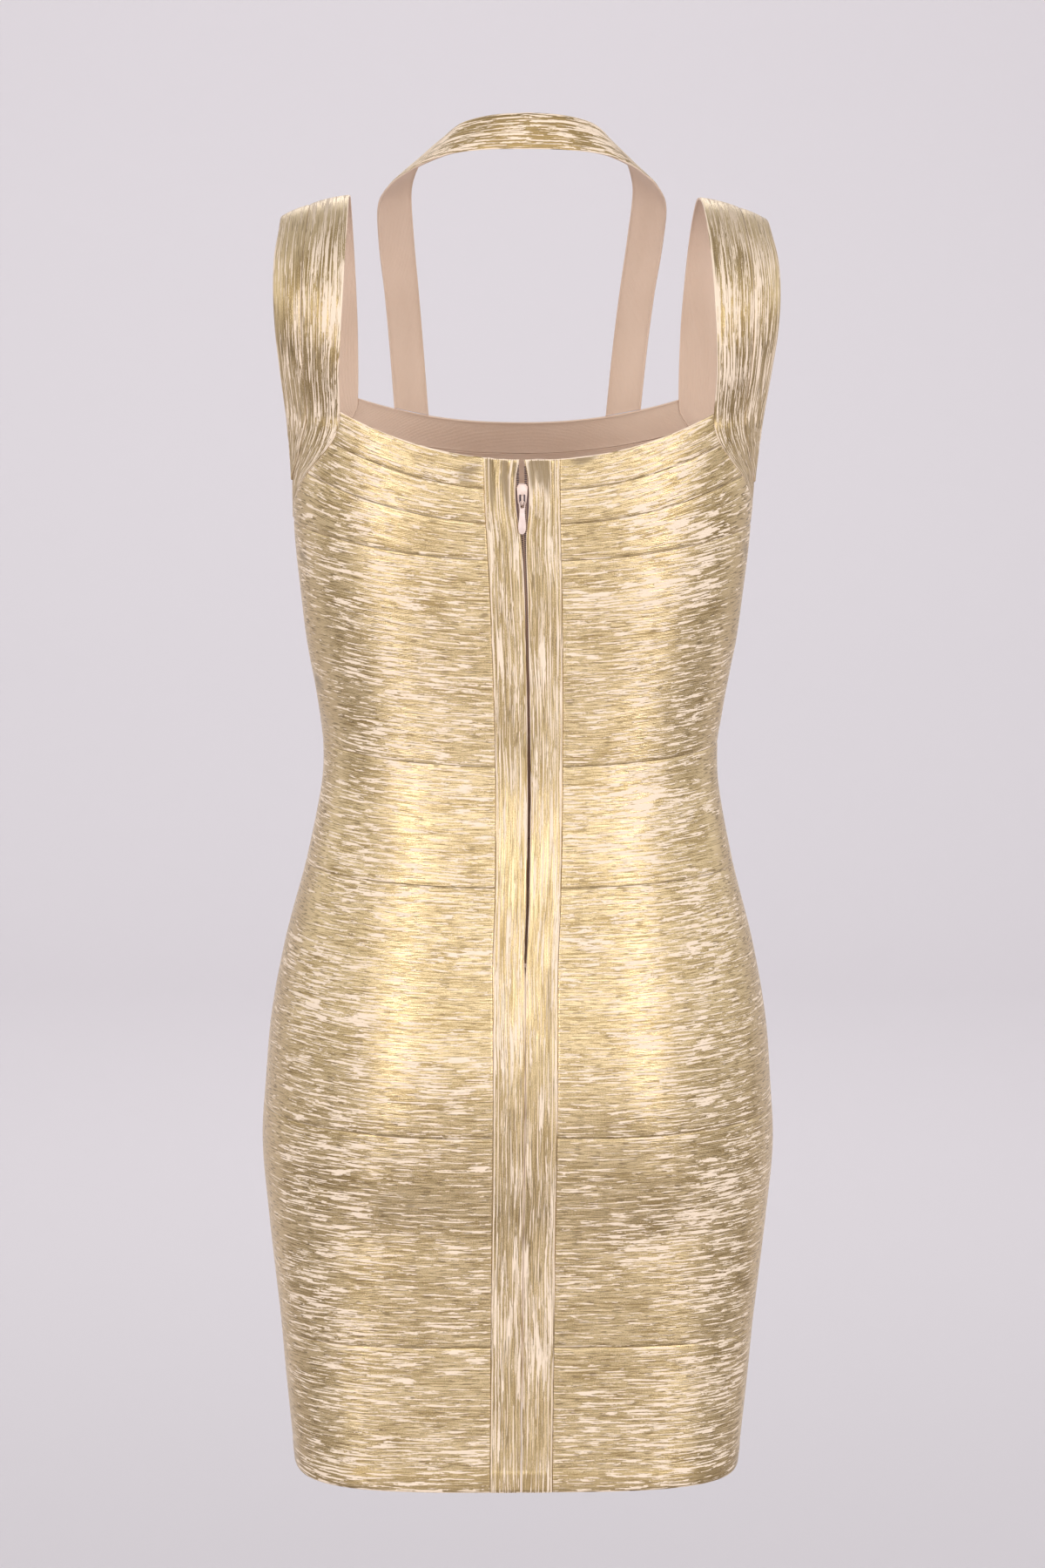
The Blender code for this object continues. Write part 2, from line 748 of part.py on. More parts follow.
def slider():
    """Front plate, diamond post and back plate round the chain, with the bridge on the front."""
    place = slider_place()
    face = place.y + SLIDER_FACE
    bottom = SLIDER_TOP - SLIDER_LENGTH

    def front_plate(work):
        half = SLIDER_WIDTH / 2
        tail = SLIDER_TAIL_WIDTH / 2
        waist = SLIDER_TOP - 0.55 * SLIDER_LENGTH
        outline = [(half - 1.2, SLIDER_TOP), (half, SLIDER_TOP - 2.0), (half - 0.3, waist)]
        outline += [(tail, bottom + 1.5), (tail - 1.0, bottom)]
        outline += [(-x, z) for x, z in reversed(outline)]
        corners = [(place.x + x, face - SLIDER_PLATE, z) for x, z in outline]
        extruded(work, corners, (0, SLIDER_PLATE, 0))

    def post(work):
        deep = place.y + BACK_PLATE_FACE - 0.3
        top = SLIDER_TOP - 0.6
        low = (place.x - POST_HALF_WIDTH, deep, top - POST_LENGTH)
        box(work, low, (place.x + POST_HALF_WIDTH, face - SLIDER_PLATE / 2, top))

    def back_plate(work):
        half = SLIDER_WIDTH / 2 - 0.2
        deep = place.y + BACK_PLATE_FACE
        low = (place.x - half, deep - BACK_PLATE, bottom + 0.5)
        box(work, low, (place.x + half, deep, SLIDER_TOP))

    def bridge(work):
        low, high = BRIDGE_TOP - BRIDGE_LENGTH, BRIDGE_TOP
        base = face - 0.3
        under = face + BRIDGE_ROOM
        top = under + BRIDGE_BAR
        outline = [(low, base), (low, under + 0.3), (low + 0.9, top), (high - 0.9, top)]
        outline += [(high, under + 0.3), (high, base), (high - BRIDGE_LEG, base)]
        outline += [(high - BRIDGE_LEG, under), (low + BRIDGE_LEG, under)]
        outline += [(low + BRIDGE_LEG, base)]
        left = place.x - BRIDGE_WIDTH / 2
        extruded(work, [(left, y, z) for z, y in outline], (BRIDGE_WIDTH, 0, 0))

    plate = add_object("zip_slider", front_plate, finish("zip_slider", METAL, 0.35, 0.8))
    combine(plate, "slider_post", "UNION", post)
    combine(plate, "slider_back_plate", "UNION", back_plate)
    combine(plate, "slider_bridge", "UNION", bridge)


def pull_tab():
    """A flat drop with an eye, hanging from a pivot whose axis runs left to right."""
    place = slider_place()
    pivot = bpy.data.objects.new("pull_tab_pivot", None)
    bpy.context.scene.collection.objects.link(pivot)
    pivot.location = Vector((place.x, place.y + TAB_PIVOT_DEPTH, TAB_PIVOT_HEIGHT)) * MM

    def plate(work):
        outline = [(TAB_TOP_HALF_WIDTH - 0.6, TAB_PIN / 2), (TAB_TOP_HALF_WIDTH, -TAB_PIN / 2)]
        outline += [(TAB_TOP_HALF_WIDTH, -TAB_EYE), (TAB_TOP_HALF_WIDTH, -TAB_EYE - 3)]
        round_centre = TAB_HALF_WIDTH - TAB_LENGTH
        for step in range(5):
            turn = math.pi / 2 * step / 4
            x = TAB_HALF_WIDTH * math.cos(turn)
            outline.append((x, round_centre - TAB_HALF_WIDTH * math.sin(turn)))
        outline += [(-x, z) for x, z in reversed(outline[:-1])]
        corners = [(x, -TAB_THICK / 2, z) for x, z in outline]
        extruded(work, corners, (0, TAB_THICK, 0))

    def eye(work):
        half = TAB_EYE_HALF_WIDTH
        box(work, (-half, -TAB_THICK, -TAB_EYE), (half, TAB_THICK, -TAB_PIN / 2))

    tab = add_object("pull_tab", plate, finish("pull_tab", BLUSH, 0.4, 0.1))
    tab.parent = pivot
    combine(tab, "pull_tab_eye", "DIFFERENCE", eye)


# --------------------------------------------------------------------------------- assembly

for old in list(bpy.data.objects):
    bpy.data.objects.remove(old, do_unlink=True)

for band in ROWS:
    back_band(band, 1)
    back_band(band, -1)
    front_band(band)
for wearer_side in (1, -1):
    zip_strip(wearer_side)
    strap_strip(wearer_side, "inner")
    strap_strip(wearer_side, "outer")
    zip_side(wearer_side)
halter_band()
bottom_stop()
slider()
pull_tab()
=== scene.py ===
# %% [markdown]
# # A gold foil bandage dress
# A bandage dress is made of knitted bands, sewn edge to edge like hoops. A metal foil is pressed
# on the blush knit and cracks along its rows, so that thin blush streaks show through. The cloth
# could be one tube with painted lines. It is made here band by band, because real seams dip.

import math
from collections import namedtuple

import bmesh
import bpy
import numpy as np
from mathutils import Matrix, Vector
from mathutils.bvhtree import BVHTree


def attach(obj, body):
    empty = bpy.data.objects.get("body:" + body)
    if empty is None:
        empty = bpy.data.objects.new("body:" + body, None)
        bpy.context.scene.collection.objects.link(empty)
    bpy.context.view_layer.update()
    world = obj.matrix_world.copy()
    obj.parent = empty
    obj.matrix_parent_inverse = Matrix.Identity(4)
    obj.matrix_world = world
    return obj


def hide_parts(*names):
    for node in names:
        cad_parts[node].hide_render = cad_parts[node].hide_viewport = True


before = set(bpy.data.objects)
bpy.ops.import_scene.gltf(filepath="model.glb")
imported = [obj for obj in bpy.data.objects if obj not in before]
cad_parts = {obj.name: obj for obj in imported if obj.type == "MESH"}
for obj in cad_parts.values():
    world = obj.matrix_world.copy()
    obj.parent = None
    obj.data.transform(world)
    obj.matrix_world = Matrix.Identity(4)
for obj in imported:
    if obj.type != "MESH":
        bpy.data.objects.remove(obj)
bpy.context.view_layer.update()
MM = 0.001

# %% [markdown]
# ## Camera
# The dress is seen from behind. A long lens stands 2.8 m away, a little above the shoulders and
# a little to the wearer's left, and looks down to the waist. A long lens keeps the bands nearly
# level. It could be a wide lens close by, but the seams would then bow far too much.

# %% Camera
EYE_DISTANCE = 2.8
EYE_HEIGHT = 0.048
EYE_TURN = math.radians(2.4)
EYE_ROLL = math.radians(0.45)
AIM = Vector((-0.0015, 0.0, -0.387))
EYE_LENS = 97.4
SENSOR_WIDTH = 36


def into_scene(name, data):
    """A new object in the scene for a mesh, a light or a camera."""
    made = bpy.data.objects.new(name, data)
    bpy.context.scene.collection.objects.link(made)
    return made


eye = into_scene("eye", bpy.data.cameras.new("eye"))
eye.data.sensor_width = SENSOR_WIDTH
eye.data.lens = EYE_LENS
eye.location = (EYE_DISTANCE * math.sin(EYE_TURN), EYE_DISTANCE * math.cos(EYE_TURN), EYE_HEIGHT)
look = (AIM - eye.location).to_track_quat("-Z", "Y").to_matrix().to_4x4()
eye.matrix_world = Matrix.Translation(eye.location) @ look @ Matrix.Rotation(EYE_ROLL, 4, "Z")
bpy.context.scene.camera = eye
bpy.context.scene.view_settings.view_transform = "Standard"
print("camera at", [round(c, 3) for c in eye.location])

# %% [markdown]
# ## Floor and studio light
# Foil shows what stands round it, so the light matters as much as the material. A pale floor
# that curves up into a wall behind gives an even ground behind the dress; the floor in front of
# it has painted shade and a band of painted light. Foil that faces down sees the painted dark
# floor and turns olive, and foil that faces the soft boxes turns pale yellow, so the room is dark
# below and above and pale between. An even white room would be simpler, but foil in it looks
# like paint.

# %% A material with nodes, and short ways to add to it
class Finish:
    """A Principled material that is built node by node."""

    def __init__(self, name):
        self.material = bpy.data.materials.new(name)
        self.material.use_nodes = True
        self.tree = self.material.node_tree
        self.shader = self.tree.nodes["Principled BSDF"]

    def add(self, kind, inputs=None, **settings):
        made = self.tree.nodes.new(kind)
        for setting, value in settings.items():
            setattr(made, setting, value)
        for name, value in (inputs or {}).items():
            self.set(made.inputs[name], value)
        return made

    def set(self, socket, value):
        if isinstance(value, bpy.types.NodeSocket):
            self.tree.links.new(value, socket)
        else:
            socket.default_value = value

    def put(self, **values):
        """Values or sockets for the shader, with _ for a space in the socket's name."""
        for name, value in values.items():
            self.set(self.shader.inputs[name.replace("_", " ")], value)

    def sum(self, operation, a, b=0.0, c=0.0):
        return self.add("ShaderNodeMath", {0: a, 1: b, 2: c}, operation=operation).outputs[0]

    def attribute(self, name):
        return self.add("ShaderNodeAttribute", attribute_name=name).outputs["Fac"]

    def between(self, value, low, high):
        """0 where value is under low, 1 where it is over high, and smooth between."""
        inputs = {"Value": value, "From Min": low, "From Max": high}
        kind = "ShaderNodeMapRange"
        return self.add(kind, inputs, interpolation_type="SMOOTHSTEP").outputs["Result"]

    def noise(self, vector, stretch, detail=2.0, rough=0.5):
        """Soft noise whose grains are one unit over stretch long each way."""
        place = self.add("ShaderNodeMapping", {"Vector": vector, "Scale": (*stretch, 1.0)})
        inputs = {"Vector": place.outputs[0], "Scale": 1.0, "Detail": detail, "Roughness": rough}
        return self.add("ShaderNodeTexNoise", inputs, noise_dimensions="2D").outputs["Fac"]

    def mix(self, share, a, b):
        """A colour that goes from a to b."""
        made = self.add("ShaderNodeMix", data_type="RGBA")
        for index, value in ((0, share), (6, a), (7, b)):
            self.set(made.inputs[index], value)
        return made.outputs[2]

    def bump(self, height, depth):
        """Relief of that depth in metres, where height goes from 0 to 1."""
        inputs = {"Height": height, "Distance": depth, "Strength": 1.0}
        return self.add("ShaderNodeBump", inputs).outputs["Normal"]


# %% Floor and wall
FLOOR_HEIGHT = -1.35
FLOOR_FRONT = 7.0
WALL_PLACE = -5.6
COVE = 1.6
COVE_STEPS = 16
WALL_TOP = 3.4
STAGE_HALF_WIDTH = 9.0


def backdrop():
    work = bmesh.new()
    path = [Vector((0, FLOOR_FRONT, FLOOR_HEIGHT))]
    for step in range(COVE_STEPS + 1):
        turn = math.pi / 2 * step / COVE_STEPS
        run = WALL_PLACE + COVE - COVE * math.sin(turn)
        path.append(Vector((0, run, FLOOR_HEIGHT + COVE - COVE * math.cos(turn))))
    path.append(Vector((0, WALL_PLACE, WALL_TOP)))
    corners = [work.verts.new(p - Vector((STAGE_HALF_WIDTH, 0, 0))) for p in path]
    line = [work.edges.new(pair) for pair in zip(corners, corners[1:])]
    pulled = bmesh.ops.extrude_edge_only(work, edges=line)["geom"]
    ends = [item for item in pulled if isinstance(item, bmesh.types.BMVert)]
    bmesh.ops.translate(work, vec=(2 * STAGE_HALF_WIDTH, 0, 0), verts=ends)
    mesh = bpy.data.meshes.new("backdrop")
    work.to_mesh(mesh)
    work.free()
    mesh.shade_smooth()
    made = into_scene("backdrop", mesh)
    return made


# The floor's painted light and shade by its place in metres, from the wall to behind the camera.
# The painted dark part close in front is what the foil under the seat sees, and the band of
# painted light what the thighs see.
PAPER = (0.67, 0.635, 0.66)
FLOOR_PAINTED_LIGHT_AND_SHADE = [(-5.6, 1.0), (-1.1, 1.0), (0.2, 0.7), (1.2, 0.5), (1.9, 1.45), (2.6, 1.1), (3.8, 0.6)]


def set_ramp(ramp, rows):
    """Gives a colour ramp a stop for each place from 0 to 1 and its colour."""
    ramp.color_ramp.interpolation = "EASE"
    stops = ramp.color_ramp.elements
    while len(stops) < len(rows):
        stops.new(1.0)
    for stop, (place, colour) in zip(stops, rows):
        stop.position, stop.color = place, colour


def pale_paper():
    f = Finish("pale_paper")
    split = f.add("ShaderNodeSeparateXYZ", {0: f.add("ShaderNodeTexCoord").outputs["Object"]})
    reach = FLOOR_FRONT - WALL_PLACE
    place = f.sum("MULTIPLY_ADD", split.outputs["Y"], 1 / reach, -WALL_PLACE / reach)
    ramp = f.add("ShaderNodeValToRGB", {"Fac": place})
    # The ramp paints light and shade on the floor: dark close in front of the dress, and a bright band
    # further out.
    set_ramp(ramp, [((distance - WALL_PLACE) / reach, (*(min(tone * part, 1.0) for part in PAPER), 1))
                    for distance, tone in FLOOR_PAINTED_LIGHT_AND_SHADE])
    f.put(Base_Color=ramp.outputs["Color"], Roughness=0.9)
    return f.material


backdrop().data.materials.append(pale_paper())

# %% Room and soft boxes
# How bright the room is at each height of the view, where -1 is straight down and 1 straight up.
ROOM_TONES = [
    (-1.0, (0.34, 0.31, 0.28, 1)),
    (-0.3, (0.60, 0.57, 0.55, 1)),
    (-0.05, (0.72, 0.70, 0.69, 1)),
    (0.20, (1.02, 1.02, 1.03, 1)),
    (0.50, (0.95, 0.95, 0.98, 1)),
    (0.80, (0.48, 0.47, 0.48, 1)),
]


def room():
    world = bpy.data.worlds.new("room")
    bpy.context.scene.world = world
    world.use_nodes = True
    nodes, links = world.node_tree.nodes, world.node_tree.links
    split = nodes.new("ShaderNodeSeparateXYZ")
    links.new(nodes.new("ShaderNodeTexCoord").outputs["Generated"], split.inputs[0])
    climb = nodes.new("ShaderNodeMapRange")
    climb.inputs["From Min"].default_value = -1.0
    links.new(split.outputs["Z"], climb.inputs["Value"])
    tones = nodes.new("ShaderNodeValToRGB")
    set_ramp(tones, [((height + 1) / 2, tone) for height, tone in ROOM_TONES])
    links.new(climb.outputs["Result"], tones.inputs["Fac"])
    links.new(tones.outputs["Color"], nodes["Background"].inputs["Color"])


Lamp = namedtuple("Lamp", "name place wide high power")
LAMPS = [
    Lamp("box_above_camera", (0.1, 3.4, 0.95), 3.4, 1.2, 18),
    Lamp("box_left", (2.3, 2.9, 0.1), 0.7, 1.6, 21),
    Lamp("box_right", (-2.3, 2.9, 0.1), 0.7, 1.6, 21),
    Lamp("strip_on_floor", (0.0, 1.9, -1.33), 1.8, 0.35, 3.0),
    Lamp("box_front", (0.0, -3.0, 1.8), 2.4, 1.6, 22),
    Lamp("box_on_wall", (0.0, -2.6, 2.6), 4.0, 1.0, 60),
]


def lamp(row):
    light = bpy.data.lights.new(row.name, "AREA")
    light.shape = "RECTANGLE"
    light.size, light.size_y = row.wide, row.high
    light.energy = row.power
    made = into_scene(row.name, light)
    made.location = row.place
    target = WALL_TARGET if row.name == "box_on_wall" else DRESS_MIDDLE
    made.rotation_euler = (target - made.location).to_track_quat("-Z", "Y").to_euler()


DRESS_MIDDLE = Vector((0, 0, -0.45))
WALL_TARGET = Vector((0, WALL_PLACE, -0.3))
room()
for row in LAMPS:
    lamp(row)
print(len(LAMPS), "soft boxes")

# %% [markdown]
# ## The form
# Cloth under tension takes the shape of what it is stretched over. It could be a cloth
# simulation on a figure, but a tight knit has no slack to fall, so the form is worked out
# instead: rings at a few heights, with a rounder or squarer outline, and a small swell on each
# side for bust and seat. The tables are the pattern's sizes, in millimetres.

# %% Rings of the tube
Section = namedtuple("Section", "height half_width back front square seat bust")
SECTIONS = [
    Section(-56, 167.0, 80.0, 74.0, 2.4, 0.0, 0.0),
    Section(-114, 158.8, 86.0, 92.0, 2.4, 0.0, 0.0),
    Section(-163, 152.8, 87.0, 104.0, 2.4, 0.0, 2.0),
    Section(-197, 151.8, 87.0, 111.0, 2.4, 0.0, 7.0),
    Section(-226, 149.8, 86.0, 115.0, 2.4, 0.0, 11.0),
    Section(-256, 146.4, 84.5, 112.0, 2.4, 0.0, 8.5),
    Section(-290, 142.2, 82.0, 104.0, 2.35, 0.0, 3.0),
    Section(-330, 135.0, 79.5, 96.0, 2.3, 0.0, 0.0),
    Section(-364, 131.2, 78.5, 92.0, 2.3, 0.0, 0.0),
    Section(-390, 132.8, 80.5, 92.5, 2.3, 0.0, 0.0),
    Section(-439, 142.8, 90.5, 97.0, 2.3, 1.5, 0.0),
    Section(-490, 156.0, 104.0, 102.0, 2.35, 4.0, 0.0),
    Section(-541, 165.6, 114.5, 105.0, 2.4, 6.0, 0.0),
    Section(-582, 169.4, 117.5, 106.0, 2.45, 6.0, 0.0),
    Section(-626, 172.0, 114.0, 106.0, 2.55, 4.5, 0.0),
    Section(-674, 168.0, 107.0, 104.0, 2.75, 2.5, 0.0),
    Section(-743, 160.4, 102.5, 101.0, 3.1, 1.0, 0.0),
    Section(-798, 155.0, 101.5, 99.0, 3.4, 0.5, 0.0),
    Section(-845, 150.2, 102.0, 98.0, 3.6, 0.0, 0.0),
]
SWELL_POWER = 0.75


def read(table, key, field, where):
    """One column of a table at any place between its rows, on a smooth curve through them."""
    keys = np.array([getattr(row, key) for row in table], float)
    values = np.array([getattr(row, field) for row in table], float)
    where = np.asarray(where, float)
    if keys[0] > keys[-1]:
        keys, where = -keys, -where
    where = np.clip(where, keys[0], keys[-1])
    count = np.arange(len(keys))
    low, high = np.maximum(count - 1, 0), np.minimum(count + 1, len(keys) - 1)
    slopes = (values[high] - values[low]) / (keys[high] - keys[low])
    i = np.clip(np.searchsorted(keys, where, side="right") - 1, 0, len(keys) - 2)
    span = keys[i + 1] - keys[i]
    t = (where - keys[i]) / span
    start = values[i] * (1 + 2 * t) * (1 - t) ** 2
    end = values[i + 1] * t * t * (3 - 2 * t)
    leaving = slopes[i] * span * t * (1 - t) ** 2
    arriving = slopes[i + 1] * span * t * t * (t - 1)
    return start + end + leaving + arriving


RING_STEPS = 240
RING_TOP = SECTIONS[0].height
RING_HEIGHTS = np.arange(RING_TOP, SECTIONS[-1].height - 0.5, -1.0)


def rings(face):
    """The quarter rings of one face, a millimetre apart, with points spaced evenly along each."""
    angle = np.linspace(0, math.pi / 2, RING_STEPS + 1)[None, :]
    columns = [read(SECTIONS, "height", name, RING_HEIGHTS)[:, None] for name in
               ("half_width", face, "square", "seat" if face == "back" else "bust")]
    half_width, depth, square, swell = columns
    share = np.sin(angle) ** (2 / square)
    out = depth * np.clip(np.cos(angle), 0, 1) ** (2 / square)
    out = out + swell * np.sin(math.pi * share**SWELL_POWER) ** 2
    x = half_width * share
    steps = np.hypot(np.diff(x, axis=1), np.diff(out, axis=1))
    length = np.concatenate([np.zeros((len(x), 1)), np.cumsum(steps, axis=1)], axis=1)
    even = np.linspace(0, 1, RING_STEPS + 1)
    even_x = np.array([np.interp(even * l[-1], l, row) for l, row in zip(length, x)])
    even_out = np.array([np.interp(even * l[-1], l, row) for l, row in zip(length, out)])
    return even_x, even_out, length[:, -1]


RINGS = {face: rings(face) for face in ("back", "front")}


def ring_length(face, height):
    return np.interp(-np.asarray(height, float), -RING_HEIGHTS, RINGS[face][2])


def ring_point(face, height, share):
    """How far to the side and how far out a ring is at a share of its quarter."""
    xs, outs, _ = RINGS[face]
    row = np.clip(RING_TOP - np.asarray(height, float), 0, len(RING_HEIGHTS) - 1.0001)
    column = np.clip(np.asarray(share, float), 0, 1) * (RING_STEPS - 1e-6)
    i, j = row.astype(int), column.astype(int)
    f, g = row - i, column - j

    def at(grid):
        upper = grid[i, j] * (1 - g) + grid[i, j + 1] * g
        lower = grid[i + 1, j] * (1 - g) + grid[i + 1, j + 1] * g
        return upper * (1 - f) + lower * f

    return at(xs), at(outs)


print("waist round, mm:", round(2 * float(ring_length("back", -374) + ring_length("front", -374))))
print("hips round, mm:", round(2 * float(ring_length("back", -620) + ring_length("front", -620))))

# %% [markdown]
# ## Where the bands are cut
# Each seam line has a height at the centre back, at the side and at the centre front, and it
# climbs from one to the other on a curve. The three neckline bands climb most, which gives the
# dress its shallow scoop.

# %% Seam lines
Row = namedtuple("Row", "name back side front")
ROWS = [
    Row("neckline_upper", -163.5, -114.0, -152.5),
    Row("neckline_middle", -183.5, -140.5, -174.0),
    Row("neckline_lower", -205.5, -172.0, -197.0),
    Row("bodice", -229.0, -211.0, -220.5),
    Row("waist", -364.0, -357.0, -362.0),
    Row("hip", -441.0, -438.0, -440.0),
    Row("thigh", -601.5, -600.5, -601.5),
    Row("hem", -746.0, -749.0, -747.0),
]
LINES = ROWS + [Row("hem_edge", -845.0, -845.0, -845.0)]
LAST_BAND = len(ROWS) - 1
CLIMB_POWER = 2.2
UNDERARM_LINE = 3
STRAP_CORNER = {"back": 121.0, "front": 109.0}
NECKLINE_HALF_WIDTH = 153.0
SLANT_POWER = 2.0


def line_value(line, field):
    return np.interp(line, range(len(LINES)), [getattr(row, field) for row in LINES])


def line_of_height(height):
    """The line number at a height on the centre back."""
    backs = [-row.back for row in LINES]
    return np.interp(-np.asarray(height, float), backs, range(len(LINES)))


def seam_height(face, share, line):
    centre, side = line_value(line, face), line_value(line, "side")
    middle = (centre + side) / 2
    x, _ = ring_point(face, middle, share)
    widest, _ = ring_point(face, middle, 1.0)
    return centre + (side - centre) * (x / widest) ** CLIMB_POWER


WORD = {1: "left", -1: "right"}


def on_tube(face, side, share, line):
    """Points of the tube's outer face, in millimetres. side is 1 on the wearer's left."""
    height = seam_height(face, share, line)
    x, out = ring_point(face, height, share)
    return np.stack([side * x, out if face == "back" else -out, height], axis=-1)


def distance_at_width(face, height, width):
    """The length along a quarter ring at which it is that far from the centre plane."""
    even = np.linspace(0, 1, RING_STEPS + 1)
    x, _ = ring_point(face, np.full(even.shape, height), even)
    return float(np.interp(width, x, even)) * float(ring_length(face, height))


def strap_share(face, line):
    """Where a neckline band ends at the slanted strap seam, as a share of the quarter ring."""
    line = np.minimum(line, UNDERARM_LINE)
    top, side = getattr(ROWS[0], face), ROWS[0].side
    corner_height = top + (side - top) * (STRAP_CORNER[face] / NECKLINE_HALF_WIDTH) ** CLIMB_POWER
    corner = distance_at_width(face, corner_height, STRAP_CORNER[face])
    corner /= float(ring_length(face, corner_height))
    return corner + (1 - corner) * (line / UNDERARM_LINE) ** SLANT_POWER


# %% [markdown]
# ## How a piece of cloth is made
# Every piece is one grid whose points are set on the form. A grid could be even, but a seam is a
# place where the cloth dives in, so there are extra rows near the edges that roll inwards. A
# Solidify modifier gives the wall, with the bare blush knit inside and on the cut edge. The
# piece keeps a map called knit: metres along the knitted rows and metres across them.

# %% Cloth sizes and edges
CLOTH = 1.5
CELL = 2.6
RIM_ROWS = (0.0, 0.35, 0.8, 1.4)
SEAM_DEPTH = 0.35
SEAM_WIDTH = 1.3
SIDE_SEAM_DEPTH = 0.2
FREE_DEPTH = 0.45
FREE_WIDTH = 1.4
MAP_STEP = 0.371
# The foil has cracked more towards the sides, where the knit is stretched round the body, and
# is nearly whole again at the side seams, where it is also painted less olive: a painted warm
# sheen. Both are in shares of the way from back to side.
WORN_FROM = 0.15
WORN_SPAN = 0.4
WHOLE_AND_SHEEN_FROM = 0.62
WHOLE_AND_SHEEN_SPAN = 0.3
WHOLE_AND_SHEEN_GAIN = 2.2
HEM_TURN = 13.0


def smooth(value):
    value = np.clip(value, 0, 1)
    return value * value * (3 - 2 * value)


def marks(length, cell):
    """Shares of a length with rows near both ends for the rolled edge."""
    rim = np.array(RIM_ROWS)
    cells = max(round((length - 2 * rim[-1]) / cell), 2)
    body = np.linspace(rim[-1], length - rim[-1], cells + 1)
    return np.concatenate([rim[:-1], body, length - rim[-2::-1]]) / length


def slopes_of(point_at, across, down, step=0.004):
    ahead = point_at(np.minimum(across + step, 1), down) - point_at(np.maximum(across - step, 0), down)
    below = point_at(across, np.minimum(down + step, 1)) - point_at(across, np.maximum(down - step, 0))
    normal = np.cross(ahead, below)
    return normal / np.maximum(np.linalg.norm(normal, axis=1, keepdims=True), 1e-9)


def from_axis(points):
    """Away from the dress's upright centre line."""
    return points * (1, 1, 0)


pieces_made = []

# %% Helpers of the cloth maker
def knit_grid(name, columns, rows):
    """A flat grid, and the share across and down of each of its points."""
    work = bmesh.new()
    bmesh.ops.create_grid(work, x_segments=columns, y_segments=rows, size=0.5)
    mesh = bpy.data.meshes.new(name)
    work.to_mesh(mesh)
    work.free()
    grid = np.empty(len(mesh.vertices) * 3)
    mesh.vertices.foreach_get("co", grid)
    grid = grid.reshape(-1, 3) + 0.5
    return mesh, np.round(grid[:, 0] * columns).astype(int), np.round((1 - grid[:, 1]) * rows).astype(int)


def rolled_edges(edges, distances):
    """How far the cloth dives at its edges, and how near a seam and a selvedge each point is."""
    lift, seam, selvedge = (np.zeros(len(distances[0])) for _ in range(3))
    for kind, distance in zip(edges, distances):
        if kind == "side seam":
            lift -= SIDE_SEAM_DEPTH * (1 - smooth(distance / SEAM_WIDTH))
        if kind == "seam":
            lift -= SEAM_DEPTH * (1 - smooth(distance / SEAM_WIDTH))
            seam = np.maximum(seam, 1 - smooth(distance / SEAM_WIDTH))
        if kind == "free":
            lift -= FREE_DEPTH * (1 - smooth(distance / FREE_WIDTH))
            selvedge = np.maximum(selvedge, 1 - smooth(distance / FREE_WIDTH))
    return lift, seam, selvedge


def foil_wear_and_sheen(points):
    """How cracked the foil is from its place round the body; below zero it is whole, with painted sheen."""
    sideways = np.abs(points[:, 0]) / np.hypot(points[:, 0], 2 * points[:, 1] + 1e-6)
    cracked = smooth((sideways - WORN_FROM) / WORN_SPAN)
    return cracked - WHOLE_AND_SHEEN_GAIN * smooth((sideways - WHOLE_AND_SHEEN_FROM) / WHOLE_AND_SHEEN_SPAN)


def hem_turned(points, fade):
    """1 on the turned hem and 0 above it, with the change over fade millimetres."""
    return 1 - smooth((points[:, 2] - LINES[-1].back - HEM_TURN) / fade)


def grid_area(points, columns, rows):
    grid = points.reshape(rows + 1, columns + 1, 3)
    first = np.cross(grid[:-1, 1:] - grid[:-1, :-1], grid[1:, :-1] - grid[:-1, :-1])
    second = np.cross(grid[1:, :-1] - grid[1:, 1:], grid[:-1, 1:] - grid[1:, 1:])
    return float((np.linalg.norm(first, axis=2) + np.linalg.norm(second, axis=2)).sum() / 2)


def put_map(mesh, name, along, over):
    corners = np.empty(len(mesh.loops), np.int32)
    mesh.loops.foreach_get("vertex_index", corners)
    places = np.stack([along[corners], over[corners]], axis=1)
    mesh.uv_layers.new(name=name).data.foreach_set("uv", places.ravel())


def report_fit(made, node, points):
    """Prints how far the piece's face is from the CAD node that it stands for."""
    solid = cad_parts[node].data
    tree = BVHTree.FromPolygons([v.co for v in solid.vertices], [p.vertices for p in solid.polygons])
    sample = points[:: max(len(points) // 150, 1)] * MM
    gaps = [tree.find_nearest(Vector(p))[3] / MM for p in sample]
    faces = len(made.data.polygons)
    print(f"{made.name}: {faces} faces, {max(gaps):.2f} mm at most from its solid")


def place_piece(made, node, body="root"):
    """Rides a body and stands for a CAD node, which it hides."""
    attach(made, body)
    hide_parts(node)
    pieces_made.append(made)


